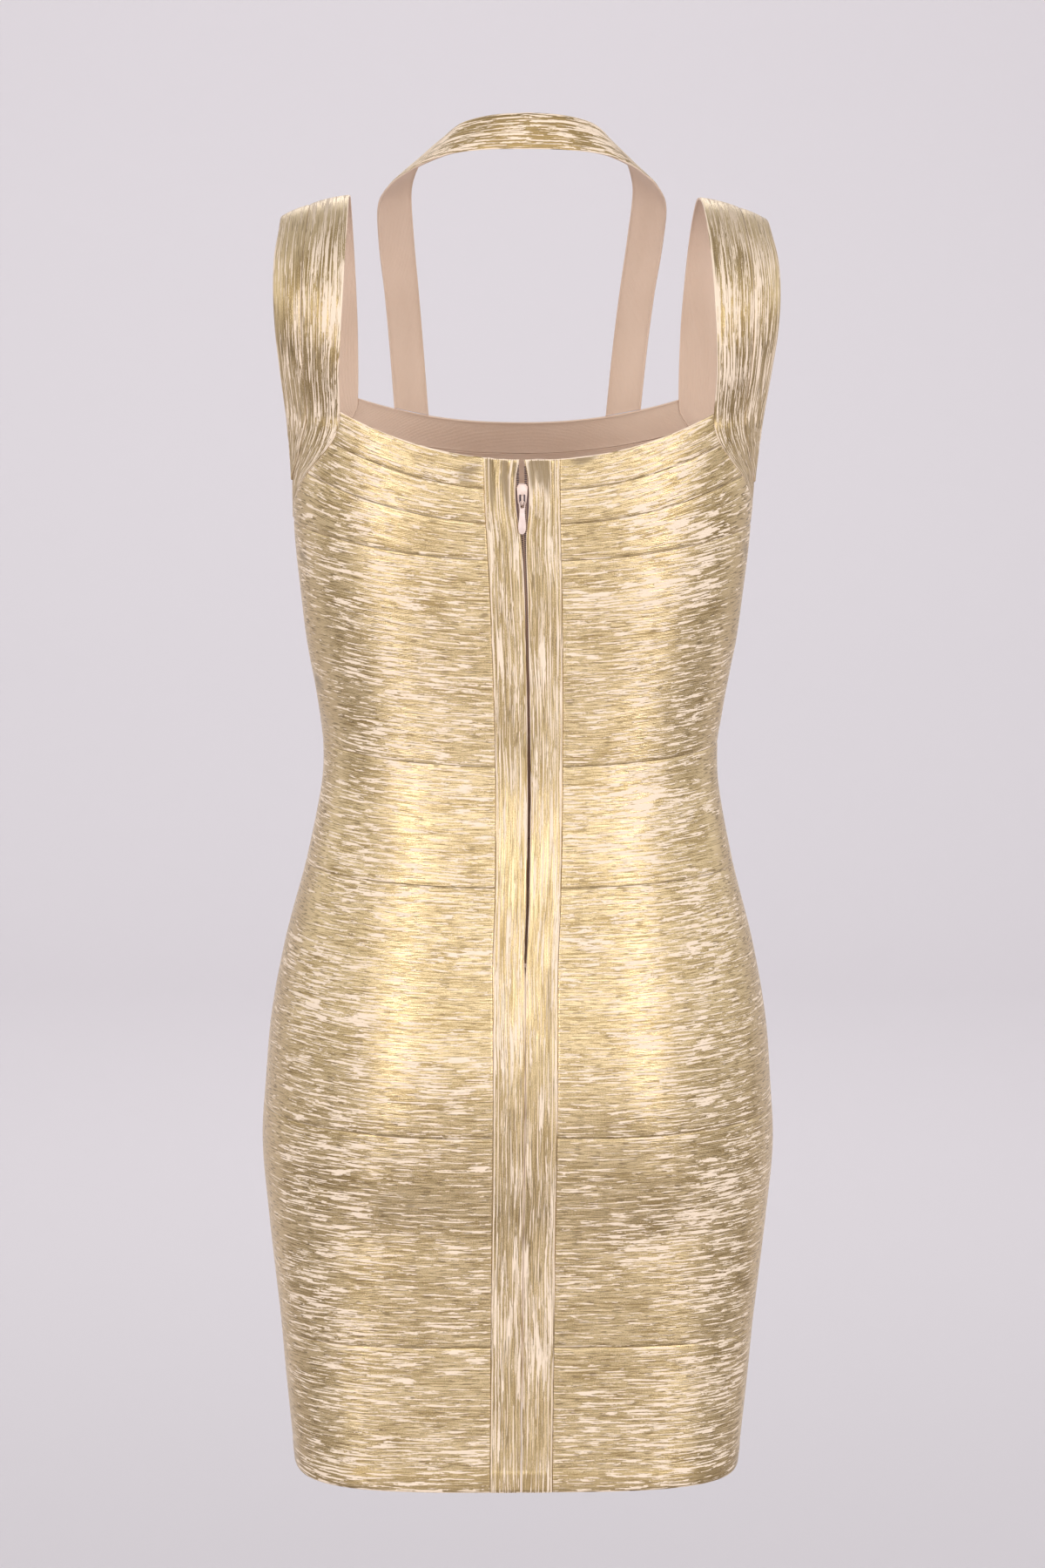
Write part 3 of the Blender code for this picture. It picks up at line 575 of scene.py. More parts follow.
# %% Cloth maker
def cloth(name, node, size, point_at, edges, finishes, relief=None, away=from_axis,
          lengthwise=False, cell=CELL, thick=CLOTH, painted_shade=None):
    """A piece size[0] across by size[1] down, in millimetres, that stands for a CAD node.

    edges says what the left, right, top and bottom are: seam, side seam or free.
    """
    across_marks, down_marks = marks(size[0], cell), marks(size[1], cell)
    columns, rows = len(across_marks) - 1, len(down_marks) - 1
    mesh, column, row = knit_grid(name, columns, rows)
    across, down = across_marks[column], down_marks[row]

    points = point_at(across, down)
    normals = slopes_of(point_at, across, down)
    normals *= np.sign((normals * away(points)).sum())
    distances = (across * size[0], (1 - across) * size[0], down * size[1], (1 - down) * size[1])
    lift, seam, selvedge = rolled_edges(edges, distances)
    if relief:
        lift += relief(points, across, down)
    mesh.vertices.foreach_set("co", ((points + normals * lift[:, None]) * MM).ravel())

    along, over = across * size[0] * MM, down * size[1] * MM
    if lengthwise:
        along, over = over, along
    put_map(mesh, "knit", along, over + len(pieces_made) * MAP_STEP)
    put_map(mesh, "edge", (1 - across) * size[0] * MM, across * size[0] * MM)
    tones = {"seam": seam, "selvedge": selvedge, "wear_and_sheen": foil_wear_and_sheen(points), "hem": hem_turned(points, 2),
             "painted_shade": painted_shade(points, across, down) if painted_shade else np.zeros(len(points))}
    for word, values in tones.items():
        mesh.attributes.new(word, "FLOAT", "POINT").data.foreach_set("value", values)

    made = into_scene(name, mesh)
    if mesh.polygons[0].normal.dot(Vector(normals[mesh.polygons[0].vertices[0]])) < 0:
        mesh.flip_normals()
    mesh.shade_smooth()
    for finish in finishes:
        mesh.materials.append(finish)
    wall = made.modifiers.new("wall", "SOLIDIFY")
    wall.thickness = thick * MM
    wall.offset = -1
    wall.material_offset = wall.material_offset_rim = 1
    place_piece(made, node)
    length, width = max(size) * MM, min(size) * MM
    area = min(grid_area(points, columns, rows) * MM * MM, width * length)
    report_fit(made, node, points)


# %% [markdown]
# ## Foil on knit
# The foil is a thin metal skin, so it is metallic and half rough. Where it has cracked, the
# blush yarn shows: matt, lighter and pinker. Noises stretched along the knitted rows make the
# cracks, and a wide one gathers them in patches. Olive streaks run the same way. Fine ribs and
# a speckle break the shine. It could be a picture, but nodes stay sharp at any size.

# %% Foil material
GOLD = (0.86, 0.67, 0.395, 1)
OLIVE = (0.42, 0.290, 0.125, 1)
BLUSH = (0.98, 0.80, 0.62, 1)
DARK_THREAD_AND_PAINTED_SHADE = (0.30, 0.21, 0.11, 1)
RIB = 0.0008
PLACKET_LINES = ((0.0011, 0.00035), (0.0036, 0.0003))


def knit_place(finish):
    """The knit map, with a slow waver so that no row is ruler straight."""
    place = finish.add("ShaderNodeUVMap", uv_map="knit").outputs["UV"]
    split = finish.add("ShaderNodeSeparateXYZ", {0: place})
    waver = finish.noise(place, (18, 45), 1.0)
    over = finish.sum("MULTIPLY_ADD", waver, 0.0022, split.outputs["Y"])
    return finish.add("ShaderNodeCombineXYZ", {"X": split.outputs["X"], "Y": over}).outputs[0], over


# Soft noises on the knit map, in grains to a metre along the rows and across them. A stretched
# one gets longer on lengthwise strips, and a packed one gets closer there.
Grain = namedtuple("Grain", "name along across detail rough stretched packed")
GRAINS = [
    Grain("fine", 66, 900, 2.0, 0.5, True, True),
    Grain("coarse", 26, 430, 2.0, 0.5, True, True),
    Grain("ragged", 380, 800, 2.0, 0.6, True, False),
    Grain("patch", 10, 24, 2.0, 0.6, False, False),
    Grain("speckle", 1500, 1900, 1.0, 0.6, False, False),
    Grain("rows", 40, 1100, 2.0, 0.6, True, True),
    Grain("dashes", 110, 1250, 1.0, 0.5, True, False),
    Grain("cloud", 14, 60, 2.0, 0.6, False, False),
]
# How much each grain counts in the cracks, in the foil's tone and in its relief.
CRACK_SHARES = {"coarse": 0.40, "fine": 0.60, "patch": 0.24, "ragged": 0.16}
TONE_SHARES = {"rows": 0.6, "cloud": 0.25, "speckle": 0.42}
RELIEF_SHARES = {"rows": 0.45, "speckle": 0.30}
CRACK_FROM, CRACK_SPAN, WORN_SHARE = 0.762, 0.02, 0.03
OLIVE_UNDER, GOLD_OVER = 0.405, 0.70
THREAD_FROM, THREAD_TO, THREAD_SHARE = 0.58, 0.67, 0.7
# How much of the olive the painted warm sheen at the side seams takes out.
SHEEN_OLIVE_LOSS = 0.75
HEM_OLIVE, PAINTED_SHADE_MIX, SEWN_SHADE, PAINTED_SHADE_MATT = 0.45, 0.85, 0.8, 0.8
FOIL_METAL, FOIL_ROUGH, OLIVE_ROUGH, KNIT_ROUGH = 0.9, 0.30, 0.08, 0.5
RIB_SHARE, KNIT_SHARE, FOIL_RELIEF = 0.10, 0.22, 0.00022


# %% Parts of the foil
def foil_grains(f, place, long, close):
    return {row.name: f.noise(place, (row.along / (long if row.stretched else 1),
                                      row.across * (close if row.packed else 1)), row.detail, row.rough)
            for row in GRAINS}


def blend(f, grain, shares):
    """The sum of some grains, each by its share."""
    total = 0.0
    for name, share in shares.items():
        total = f.sum("MULTIPLY_ADD", grain[name], share, total)
    return total


def olive_share(f, grain, wear_and_sheen, dark):
    """How olive the foil is: in streaks, and less so under the painted warm sheen by the side seams."""
    gold = f.between(blend(f, grain, TONE_SHARES), OLIVE_UNDER + dark, GOLD_OVER + dark)
    # Near the side seams the olive is taken out: a painted warm sheen.
    whole = f.between(f.sum("MULTIPLY", wear_and_sheen, -1.0), 0.1, 0.9)
    kept = f.sum("MULTIPLY_ADD", whole, -SHEEN_OLIVE_LOSS, 1.0)
    return f.sum("MULTIPLY", f.sum("SUBTRACT", 1.0, gold), kept)


def bare_edge(f, grain, edging):
    """Where the knit is bare: on a broken line at a selvedge, and on the lines of edging."""
    broken = f.sum("MULTIPLY", f.attribute("selvedge"), f.between(grain["fine"], 0.30, 0.52))
    edge = f.between(broken, 0.25, 0.8)
    inwards = f.add("ShaderNodeSeparateXYZ", {0: f.add("ShaderNodeUVMap", uv_map="edge").outputs["UV"]})
    for distance, half in edging:
        away = f.sum("ABSOLUTE", f.sum("SUBTRACT", inwards.outputs["X"], distance))
        line = f.sum("SUBTRACT", 1.0, f.between(away, half * 0.6, half * 1.4))
        edge = f.sum("MAXIMUM", edge, f.sum("MULTIPLY", line, f.between(grain["rows"], 0.36, 0.50)))
    return edge


# %% The foil itself
def foil_on_knit(name, bare=0.0, dark=0.0, long=1.0, close=1.0, edging=()):
    """bare brings more knit into sight, dark tones the foil down, long stretches the cracks and
    close packs them. edging lists bare lines along the outer edge, each a distance and half
    width in metres.
    """
    f = Finish(name)
    place, over = knit_place(f)
    grain = foil_grains(f, place, long, close)
    wear_and_sheen, painted_shade, seam = f.attribute("wear_and_sheen"), f.attribute("painted_shade"), f.attribute("seam")
    crack = f.sum("MULTIPLY_ADD", wear_and_sheen, WORN_SHARE, blend(f, grain, CRACK_SHARES))
    showing = f.between(crack, CRACK_FROM - bare, CRACK_FROM - bare + CRACK_SPAN)
    olive = olive_share(f, grain, wear_and_sheen, dark)
    thread = f.sum("MULTIPLY", f.between(grain["dashes"], THREAD_FROM, THREAD_TO), THREAD_SHARE)
    edge = bare_edge(f, grain, edging)
    sewn = f.between(f.sum("MULTIPLY", seam, f.between(grain["coarse"], 0.30, 0.62)), 0.55, 1.0)

    colour = f.mix(thread, f.mix(olive, GOLD, OLIVE), DARK_THREAD_AND_PAINTED_SHADE)
    colour = f.mix(f.sum("MULTIPLY", f.attribute("hem"), HEM_OLIVE), colour, OLIVE)
    colour = f.mix(showing, colour, BLUSH)
    # Painted shade in sharp creases, in the troughs of the strips' folds and on the straps' crests.
    colour = f.mix(f.sum("MULTIPLY", painted_shade, PAINTED_SHADE_MIX), colour, DARK_THREAD_AND_PAINTED_SHADE)
    colour = f.mix(edge, colour, BLUSH)
    colour = f.mix(f.sum("MULTIPLY", sewn, SEWN_SHADE), colour, DARK_THREAD_AND_PAINTED_SHADE)

    matt = f.sum("MAXIMUM", showing, edge)
    # The seams and the painted shade are less metallic.
    unlit = f.sum("MAXIMUM", sewn, f.sum("MULTIPLY", painted_shade, PAINTED_SHADE_MATT))
    metal = f.sum("MULTIPLY_ADD", f.sum("MAXIMUM", matt, unlit), -FOIL_METAL, FOIL_METAL)
    rough = f.sum("MULTIPLY_ADD", matt, KNIT_ROUGH, f.sum("MULTIPLY_ADD", olive, OLIVE_ROUGH, FOIL_ROUGH))
    rib = f.sum("SINE", f.sum("MULTIPLY", over, 2 * math.pi / RIB))
    relief = f.sum("MULTIPLY_ADD", rib, RIB_SHARE, blend(f, grain, RELIEF_SHARES))
    relief = f.sum("MULTIPLY_ADD", showing, KNIT_SHARE, relief)
    f.put(Base_Color=colour, Metallic=metal, Roughness=rough, Normal=f.bump(relief, FOIL_RELIEF))
    f.material.diffuse_color = GOLD
    return f.material


foil = foil_on_knit("foil_bands", dark=0.06)
foil_lengthwise = foil_on_knit("foil_straps", bare=0.042, dark=0.14, long=2.0, close=1.3)
foil_nape = foil_on_knit("foil_halter", bare=0.04, dark=0.26, long=1.5, close=1.2)
foil_placket = foil_on_knit("foil_beside_zip", 0.024, 0.085, 2.4, 1.4, PLACKET_LINES)
print("foil materials:", foil.name, foil_lengthwise.name, foil_nape.name, foil_placket.name)

# %% [markdown]
# ## Bare knit
# The inside of the dress and its cut edges have no foil. The yarn is matt, with a soft sheen and
# one rib for each knitted row.

# %% Bare knit material
def bare_knit():
    f = Finish("blush_knit")
    place, over = knit_place(f)
    rib = f.sum("SINE", f.sum("MULTIPLY", over, 2 * math.pi / RIB))
    fuzz = f.noise(place, (500, 1100), 2.0, 0.6)
    tone = f.noise(place, (20, 60), 2.0, 0.5)
    colour = f.mix(tone, (0.80, 0.60, 0.46, 1), (0.90, 0.70, 0.56, 1))
    relief = f.sum("MULTIPLY_ADD", fuzz, 0.6, f.sum("MULTIPLY", rib, 0.25))
    f.put(Base_Color=colour, Roughness=0.85, Normal=f.bump(relief, 0.0003))
    f.put(Sheen_Weight=0.15, Sheen_Roughness=0.5)
    f.material.diffuse_color = BLUSH
    return f.material


inside = bare_knit()

# %% [markdown]
# ## Creases
# A dress this tight has few creases. Soft hollows pull in from the side seams at the waist, the
# seat has a shallow drag line below it, and short wrinkles gather at the underarms. Each is a
# row of the table: where it is round the body from the centre line, its height, its length and
# width, its tilt and its depth, which is below zero for a ridge. The front has like ones.

# %% Crease table
Crease = namedtuple("Crease", "face side around height length width tilt depth")
CREASES = [
    Crease("back", -1, 36, -163, 30, 3.2, 14, 1.3),
    Crease("back", -1, 44, -158, 26, 3.0, 12, -0.8),
    Crease("back", 1, 38, -171, 26, 3.0, -10, 0.9),
    Crease("back", 1, 40, -178, 22, 2.6, 8, 0.7),
    Crease("back", 1, 105, -418, 90, 15, 16, 1.3),
    Crease("back", 1, 88, -437, 60, 9, 22, -0.7),
    Crease("back", -1, 112, -410, 80, 14, -14, 1.1),
    Crease("back", -1, 150, -352, 60, 8, -8, 0.9),
    Crease("back", 1, 154, -346, 52, 9, 6, 1.0),
    Crease("back", 1, 160, -316, 40, 6, 10, 0.8),
    Crease("back", -1, 158, -300, 46, 7, -12, 0.7),
    Crease("back", 1, 80, -668, 120, 20, -9, 1.6),
    Crease("back", -1, 84, -676, 104, 18, 10, 1.5),
    Crease("back", 1, 142, -640, 70, 10, 14, 0.8),
    Crease("back", -1, 150, -655, 62, 9, -12, 0.8),
    Crease("back", 1, 168, -232, 34, 4, 24, 0.9),
    Crease("back", -1, 170, -228, 30, 3.5, -26, 0.9),
    Crease("back", -1, 164, -240, 24, 3, -18, -0.6),
    Crease("front", 1, 120, -402, 76, 13, 12, 1.1),
    Crease("front", -1, 112, -412, 84, 14, -15, 1.2),
    Crease("front", 1, 150, -250, 40, 7, 28, 0.9),
    Crease("front", -1, 146, -256, 44, 7, -26, 0.9),
    Crease("front", 1, 90, -560, 90, 16, 8, 0.9),
    Crease("front", -1, 84, -572, 76, 14, -6, 0.8),
]


def crease_lift(face, side, around, height, widest=math.inf):
    """How far the cloth is pushed out at places round the body, in millimetres."""
    lift = np.zeros(len(height))
    for row in CREASES:
        if row.face != face or row.width > widest:
            continue
        turn = math.radians(row.tilt)
        right = np.where(side == row.side, around, -around) - row.around
        up = height - row.height
        along = right * math.cos(turn) + up * math.sin(turn)
        over = up * math.cos(turn) - right * math.sin(turn)
        fade = smooth(1 - np.abs(along) / (row.length / 2))
        lift -= row.depth * fade * np.exp(-((over / row.width) ** 2))
    return lift


SHARP_CREASE = 6.0

# The knit between two seams bulges a little. The turned hem is thicker, up to its stitches,
# which are a line that deep and that wide.
BULGE = 0.25
NECKLINE_BULGE = 0.08
HEM_THICK = 0.45
HEM_STEP = 1.5
HEM_STITCHES = (0.35, 1.2)


def band_relief(face, side_at, first):
    def relief(points, across, down):
        side, share, line = side_at(across, down)
        around = share * ring_length(face, points[:, 2])
        lift = crease_lift(face, side, around, points[:, 2])
        bulge = NECKLINE_BULGE if first < UNDERARM_LINE else BULGE
        lift += bulge * np.sin(math.pi * np.clip(down, 0, 1)) ** 0.6
        if first == LAST_BAND:
            depth, width = HEM_STITCHES
            above = points[:, 2] - LINES[-1].back
            lift += HEM_THICK * hem_turned(points, HEM_STEP)
            lift -= depth * np.exp(-(((above - HEM_TURN) / width) ** 2))
        return lift
    return relief


def band_painted_shade(face, side_at):
    """Painted shade in a sharp crease: 1 where it is a millimetre deep."""
    def painted_shade(points, across, down):
        side, share, line = side_at(across, down)
        around = share * ring_length(face, points[:, 2])
        return smooth(-crease_lift(face, side, around, points[:, 2], widest=SHARP_CREASE))
    return painted_shade


print(len(CREASES), "creases by hand")

# %% [markdown]
# ## Bands of the back and the front
# The back bands stop at the strip beside the zip. The front bands go from side seam to side
# seam, or from strap to strap above the underarm. They could share one wide grid, but each is
# its own piece of knit on the real dress, and its foil pattern stops at the seam.

# %% Strips' sizes beside the zip
Strip = namedtuple("Strip", "height half slit sway")
STRIPS = [
    Strip(-163.5, 25.0, 1.4, 4.4),
    Strip(-176.5, 24.6, 3.9, 4.1),
    Strip(-195.5, 24.4, 3.9, 3.5),
    Strip(-214.5, 24.0, 1.5, 2.6),
    Strip(-262, 23.4, 0.9, 0.3),
    Strip(-364, 22.1, 0.9, -2.4),
    Strip(-441, 21.5, 0.9, -1.8),
    Strip(-486.5, 21.3, 0.7, 0.0),
    Strip(-498.5, 21.2, 0.15, 0.2),
    Strip(-601, 21.0, 0.15, 0.0),
    Strip(-845, 20.7, 0.15, 0.0),
]


def strip_value(field, line):
    return read(STRIPS, "height", field, line_value(line, "back"))


# %% Bands
CHORD_TO_ARC = 1.12


def back_band(first, side):
    def side_at(across, down):
        line = first + down
        length = ring_length("back", seam_height("back", 0.5, line))
        low = (strip_value("half", line) + side * strip_value("sway", line)) / length
        high = strap_share("back", line)
        return np.full(len(across), side), low + (high - low) * across, line

    def point_at(across, down):
        _, share, line = side_at(across, down)
        return on_tube("back", side, share, line)

    ends = point_at(np.array([0.0, 1.0]), np.array([0.5, 0.5]))
    size = (float(np.linalg.norm(ends[1] - ends[0])) * CHORD_TO_ARC,
            LINES[first].back - LINES[first + 1].back)
    outer = "seam" if first < UNDERARM_LINE else "side seam"
    edges = ("seam", outer, "free" if first == 0 else "seam", "free" if first == LAST_BAND else "seam")
    name = f"{WORD[side]}_{ROWS[first].name}"
    cloth(f"knit_back_{name}", f"back_{name}", size, point_at, edges, (foil, inside),
          band_relief("back", side_at, first), painted_shade=band_painted_shade("back", side_at))


def front_band(first):
    def side_at(across, down):
        line = first + down
        turn = (2 * across - 1) * strap_share("front", line)
        return np.where(turn >= 0, 1, -1), np.abs(turn), line

    def point_at(across, down):
        side, share, line = side_at(across, down)
        return on_tube("front", side, share, line)

    length = 2 * float(ring_length("front", ROWS[first].front)) * float(strap_share("front", first + 0.5))
    size = (length, LINES[first].front - LINES[first + 1].front)
    outer = "seam" if first < UNDERARM_LINE else "side seam"
    edges = (outer, outer, "free" if first == 0 else "seam", "free" if first == LAST_BAND else "seam")
    name = f"front_{ROWS[first].name}"
    cloth(f"knit_{name}", name, size, point_at, edges, (foil, inside),
          band_relief("front", side_at, first), painted_shade=band_painted_shade("front", side_at))


for number in range(len(ROWS)):
    back_band(number, 1)
    back_band(number, -1)
    front_band(number)

# %% [markdown]
# ## Strips beside the zip
# Two lengthwise strips cover the zip's tapes. Their upper ends are folded over and sewn down, so
# they are crumpled there: two pinched ridges on the left one and a puckered patch on the right
# one. The ridges are placed one by one and fade out downwards.

# %% Folds at the tops of the strips
Fold = namedtuple("Fold", "side distance top length width lift lean")
FOLDS = [
    Fold(1, 17.0, 0, 62, 1.6, 1.7, -0.06),
    Fold(1, 20.8, 2, 46, 1.9, -1.5, -0.05),
    Fold(1, 7.0, 1, 50, 1.5, 1.5, -0.04),
    Fold(1, 11.2, 3, 44, 1.9, -1.5, -0.06),
    Fold(1, 14.0, 12, 60, 1.1, -0.5, -0.03),
    Fold(1, 4.4, 4, 22, 1.2, -1.0, 0.0),
    Fold(-1, 6.4, 3, 26, 2.2, -1.2, 0.04),
    Fold(-1, 11.0, 2, 24, 2.6, -1.4, 0.0),
    Fold(-1, 15.6, 3, 28, 2.0, -1.2, 0.02),
    Fold(-1, 8.8, 8, 60, 1.2, 0.7, 0.03),
    Fold(-1, 20.8, 1, 54, 1.3, 1.3, 0.02),
    Fold(-1, 8.0, 60, 90, 1.2, -0.4, 0.0),
    Fold(1, 9.0, 150, 120, 1.4, -0.4, 0.01),
    Fold(-1, 12.0, 330, 140, 1.5, -0.45, 0.01),
    Fold(1, 14.0, 420, 130, 1.5, -0.4, -0.01),
]
STRIP_BULGE = 0.5
STRIP_WIDTH = 22.0
STRIP_CELL = 1.3
FOLD_START = 4.0
FOLD_DARK = 0.7


def back_place(distance, line):
    across = strip_value("sway", line) + distance
    length = ring_length("back", line_value(line, "back"))
    return np.where(across >= 0, 1, -1), np.abs(across) / length


def beside_zip(distance, line):
    """Points of the back at a signed distance from the zip's line."""
    side, share = back_place(distance, line)
    return on_tube("back", side, share, line)


def zip_strip(side):
    def line_at(down):
        return line_of_height(ROWS[0].back + (LINES[-1].back - ROWS[0].back) * down)

    def distance_at(across, down):
        line = line_at(down)
        inner, outer = strip_value("slit", line), strip_value("half", line)
        return inner + (outer - inner) * across

    def point_at(across, down):
        return beside_zip(side * distance_at(across, down), line_at(down))

    def folds(points, across, down):
        distance = distance_at(across, down)
        below = ROWS[0].back - points[:, 2]
        lift = np.zeros(len(points))
        for row in FOLDS:
            if row.side != side:
                continue
            place = row.distance + row.lean * below
            start = smooth((below - row.top) / FOLD_START + 1)
            fade = start * smooth(1 - (below - row.top) / row.length)
            lift += row.lift * fade * np.exp(-(((distance - place) / row.width) ** 2))
        return lift

    # Painted shade in the troughs of the folds.
    def painted_shade(points, across, down):
        return smooth(-folds(points, across, down) / FOLD_DARK)

    def relief(points, across, down):
        lift = STRIP_BULGE * np.sin(math.pi * across) ** 0.5 + folds(points, across, down)
        return lift + HEM_THICK * hem_turned(points, HEM_STEP)

    size = (STRIP_WIDTH, ROWS[0].back - LINES[-1].back)
    cloth(f"knit_strip_{WORD[side]}", f"zip_strip_{WORD[side]}", size, point_at,
          ("free", "seam", "free", "free"), (foil_placket, inside), relief,
          lengthwise=True, cell=STRIP_CELL, painted_shade=painted_shade)


zip_strip(1)
zip_strip(-1)

# %% [markdown]
# ## Shoulder straps
# Each strap is two lengthwise strips sewn side by side. It rises from the underarm, where its
# outer strip runs out to a point, over the shoulder and down to the front. Rows of inner and
# outer edge points give the route, and a smooth curve joins them. Each strip is crowned.

# %% Strap tables
Edge = namedtuple("Edge", "inner_x inner_y inner_z outer_x outer_y outer_z split")
STRAP_EDGES = [
    Edge(121.5, 76, -109, 160.4, 45, -106, 0.56),
    Edge(120.5, 80, -85, 162.8, 53, -83, 0.56),
    Edge(119.0, 78, -60, 164.0, 52, -58, 0.56),
    Edge(117.5, 66, -35, 163.4, 40, -37, 0.56),
    Edge(116.0, 43, -13, 160.8, 22, -21, 0.56),
    Edge(115.0, 17, -1, 159.6, 3, -12.5, 0.56),
    Edge(114.0, -9, 1.5, 158.8, -15, -16.5, 0.56),
    Edge(113.0, -33, -10.5, 158.8, -31, -33, 0.56),
    Edge(111.5, -52, -34, 158.0, -42, -56, 0.56),
    Edge(110.0, -64, -62, 156.0, -46, -82, 0.56),
    Edge(109.0, -74, -93, 154.0, -44, -109, 0.56),
]
Arm = namedtuple("Arm", "line height side back front split")
ARMHOLE = [
    Arm(0.0, -129.5, 157.4, 37.0, 39.0, 0.57),
    Arm(0.5, -143, 155.8, 32.5, 34.0, 0.60),
    Arm(1.0, -155.5, 154.8, 28.0, 29.0, 0.66),
    Arm(1.5, -169.5, 153.5, 22.5, 23.0, 0.74),
    Arm(2.0, -183, 152.4, 16.5, 17.0, 0.96),
]
OUTER_STRIP_END = 2.0
INNER_STRIP_ENDS = (2.5, 2.93)
STRAP_ARCH = 2.5


def low_strap_rows(face):
    """Inner point, outer point and split from the strap's corner to the underarm."""
    sign = 1 if face == "back" else -1
    found = []
    for arm in ARMHOLE:
        inner = on_tube(face, 1, strap_share(face, arm.line), arm.line)
        found.append([*inner, arm.side, sign * getattr(arm, face), arm.height, arm.split])
    last, underarm = np.array(found[-1][3:6]), on_tube(face, 1, 1.0, UNDERARM_LINE)
    for line in INNER_STRIP_ENDS:
        reach = (line - OUTER_STRIP_END) / (UNDERARM_LINE - OUTER_STRIP_END)
        inner = on_tube(face, 1, strap_share(face, line), line)
        found.append([*inner, *(last + (underarm - last) * reach), 1.0])
    return found


def smooth_rows(rows, place):
    """Values on a smooth curve through rows, where place 0 is the first row."""
    rows = np.array(rows, float)
    i = np.clip(place.astype(int), 0, len(rows) - 2)
    t = (place - i)[:, None]
    a, b = rows[np.maximum(i - 1, 0)], rows[i]
    c, d = rows[i + 1], rows[np.minimum(i + 2, len(rows) - 1)]
    bend = 2 * b + (c - a) * t + (2 * a - 5 * b + 4 * c - d) * t * t
    return (bend + (3 * b - a - 3 * c + d) * t**3) / 2


STRAP_ROWS = low_strap_rows("back")[::-1] + [list(e) for e in STRAP_EDGES] + low_strap_rows("front")
print(len(STRAP_ROWS), "rows along a strap")

# %% Straps
STRAP_MIDDLE = np.array([100.0, 0.0, -90.0])
STRAP_WIDTHS = {"inner": 27.0, "outer": 21.0}
STRAP_CELL = 1.8
STRIP_CROWN = 0.55
CREST_HEIGHT, CREST_REACH, CREST_SHADE = -8.0, 32.0, 0.5
UNDERARM_PUCKERS = ((0.055, 0.35, 0.016, 1.0), (0.085, 0.62, 0.012, 0.8), (0.115, 0.45, 0.014, 0.6))


def strap_away(points):
    """Away from the middle of the armhole."""
    side = np.sign(points[:, :1])
    return points - STRAP_MIDDLE * np.concatenate([side, side, side**2], axis=1)


def strap_strip(side, part):
    first = len(INNER_STRIP_ENDS) if part == "outer" else 0
    steps = len(STRAP_ROWS) - 1 - 2 * first

    def point_at(across, down):
        row = smooth_rows(STRAP_ROWS, first + down * steps)
        inner, outer, split = row[:, 0:3], row[:, 3:6], np.minimum(row[:, 6], 1.0)
        share = split * across if part == "inner" else split + (1 - split) * across
        point = inner + (outer - inner) * share[:, None]
        width = np.linalg.norm(outer - inner, axis=1)
        crown = (inner + outer) / 2 - STRAP_MIDDLE
        crown /= np.linalg.norm(crown, axis=1, keepdims=True)
        lift = STRAP_ARCH * (width / 50) ** 2 * np.sin(math.pi * share)
        point = point + crown * lift[:, None]
        return point * (side, 1, 1)

    def relief(points, across, down):
        lift = STRIP_CROWN * np.sin(math.pi * across) ** 0.6
        for place, over, width, depth in UNDERARM_PUCKERS:
            for end in (down, 1 - down):
                fade = np.exp(-(((across - over) / 0.35) ** 2))
                slanted = end - place - 0.02 * (across - over)
                lift -= depth * fade * np.exp(-((slanted / width) ** 2))
        return lift

    def crest(points, across, down):
        """Painted shade on the foil where the strap goes over the shoulder."""
        return CREST_SHADE * np.exp(-(((points[:, 2] - CREST_HEIGHT) / CREST_REACH) ** 2))

    spine = np.linspace(0, 1, 60)
    line = point_at(np.full(60, 0.5), spine)
    length = float(np.linalg.norm(np.diff(line, axis=0), axis=1).sum())
    name = f"strap_{WORD[side]}_{part}"
    edges = ("free", "seam", "seam", "seam") if part == "inner" else ("seam", "free", "seam", "seam")
    cloth(f"knit_{name}", name, (STRAP_WIDTHS[part], length), point_at, edges, (foil_lengthwise, inside),
          relief, strap_away, lengthwise=True, cell=STRAP_CELL, painted_shade=crest)


for wearer_side in (1, -1):
    strap_strip(wearer_side, "inner")
    strap_strip(wearer_side, "outer")

# %% [markdown]
# ## Halter band
# One lengthwise band lies round the nape and runs over both shoulders to the front neckline.
# Half of its route is a table, and the other half is its mirror image.

# %% Halter band
Halter = namedtuple("Halter", "upper_x upper_y upper_z lower_x lower_y lower_z")
HALTER = [
    Halter(0, 60, 56, 0, 67, 33),
    Halter(23, 55, 54.5, 25, 63, 32.5),
    Halter(42.5, 40, 49.5, 48.5, 50, 30),
    Halter(54, 20, 40, 66, 31, 24),
    Halter(63, 0, 31.5, 78.5, 9, 17),
    Halter(69.5, -20, 22.5, 89, -14, 8.5),
    Halter(73.5, -42, 5, 96, -38, -5),
    Halter(71.5, -62, -26.5, 95, -58, -32.5),
    Halter(68, -79, -62, 91, -72, -65),
    Halter(64.5, -91, -100, 87.5, -83, -101),
]
HALTER_END = (60.5, 84.0)
HALTER_WIDTH = 24.5
HALTER_MIDDLE_HEIGHT = -60.0


def halter_rows():
    ends = []
    for width in HALTER_END:
        height = ROWS[0].front + (ROWS[0].side - ROWS[0].front) * (width / NECKLINE_HALF_WIDTH) ** CLIMB_POWER
        share = distance_at_width("front", height, width) / float(ring_length("front", height))
        ends += [*on_tube("front", 1, share, 0)]
    return [list(row) for row in HALTER] + [ends]


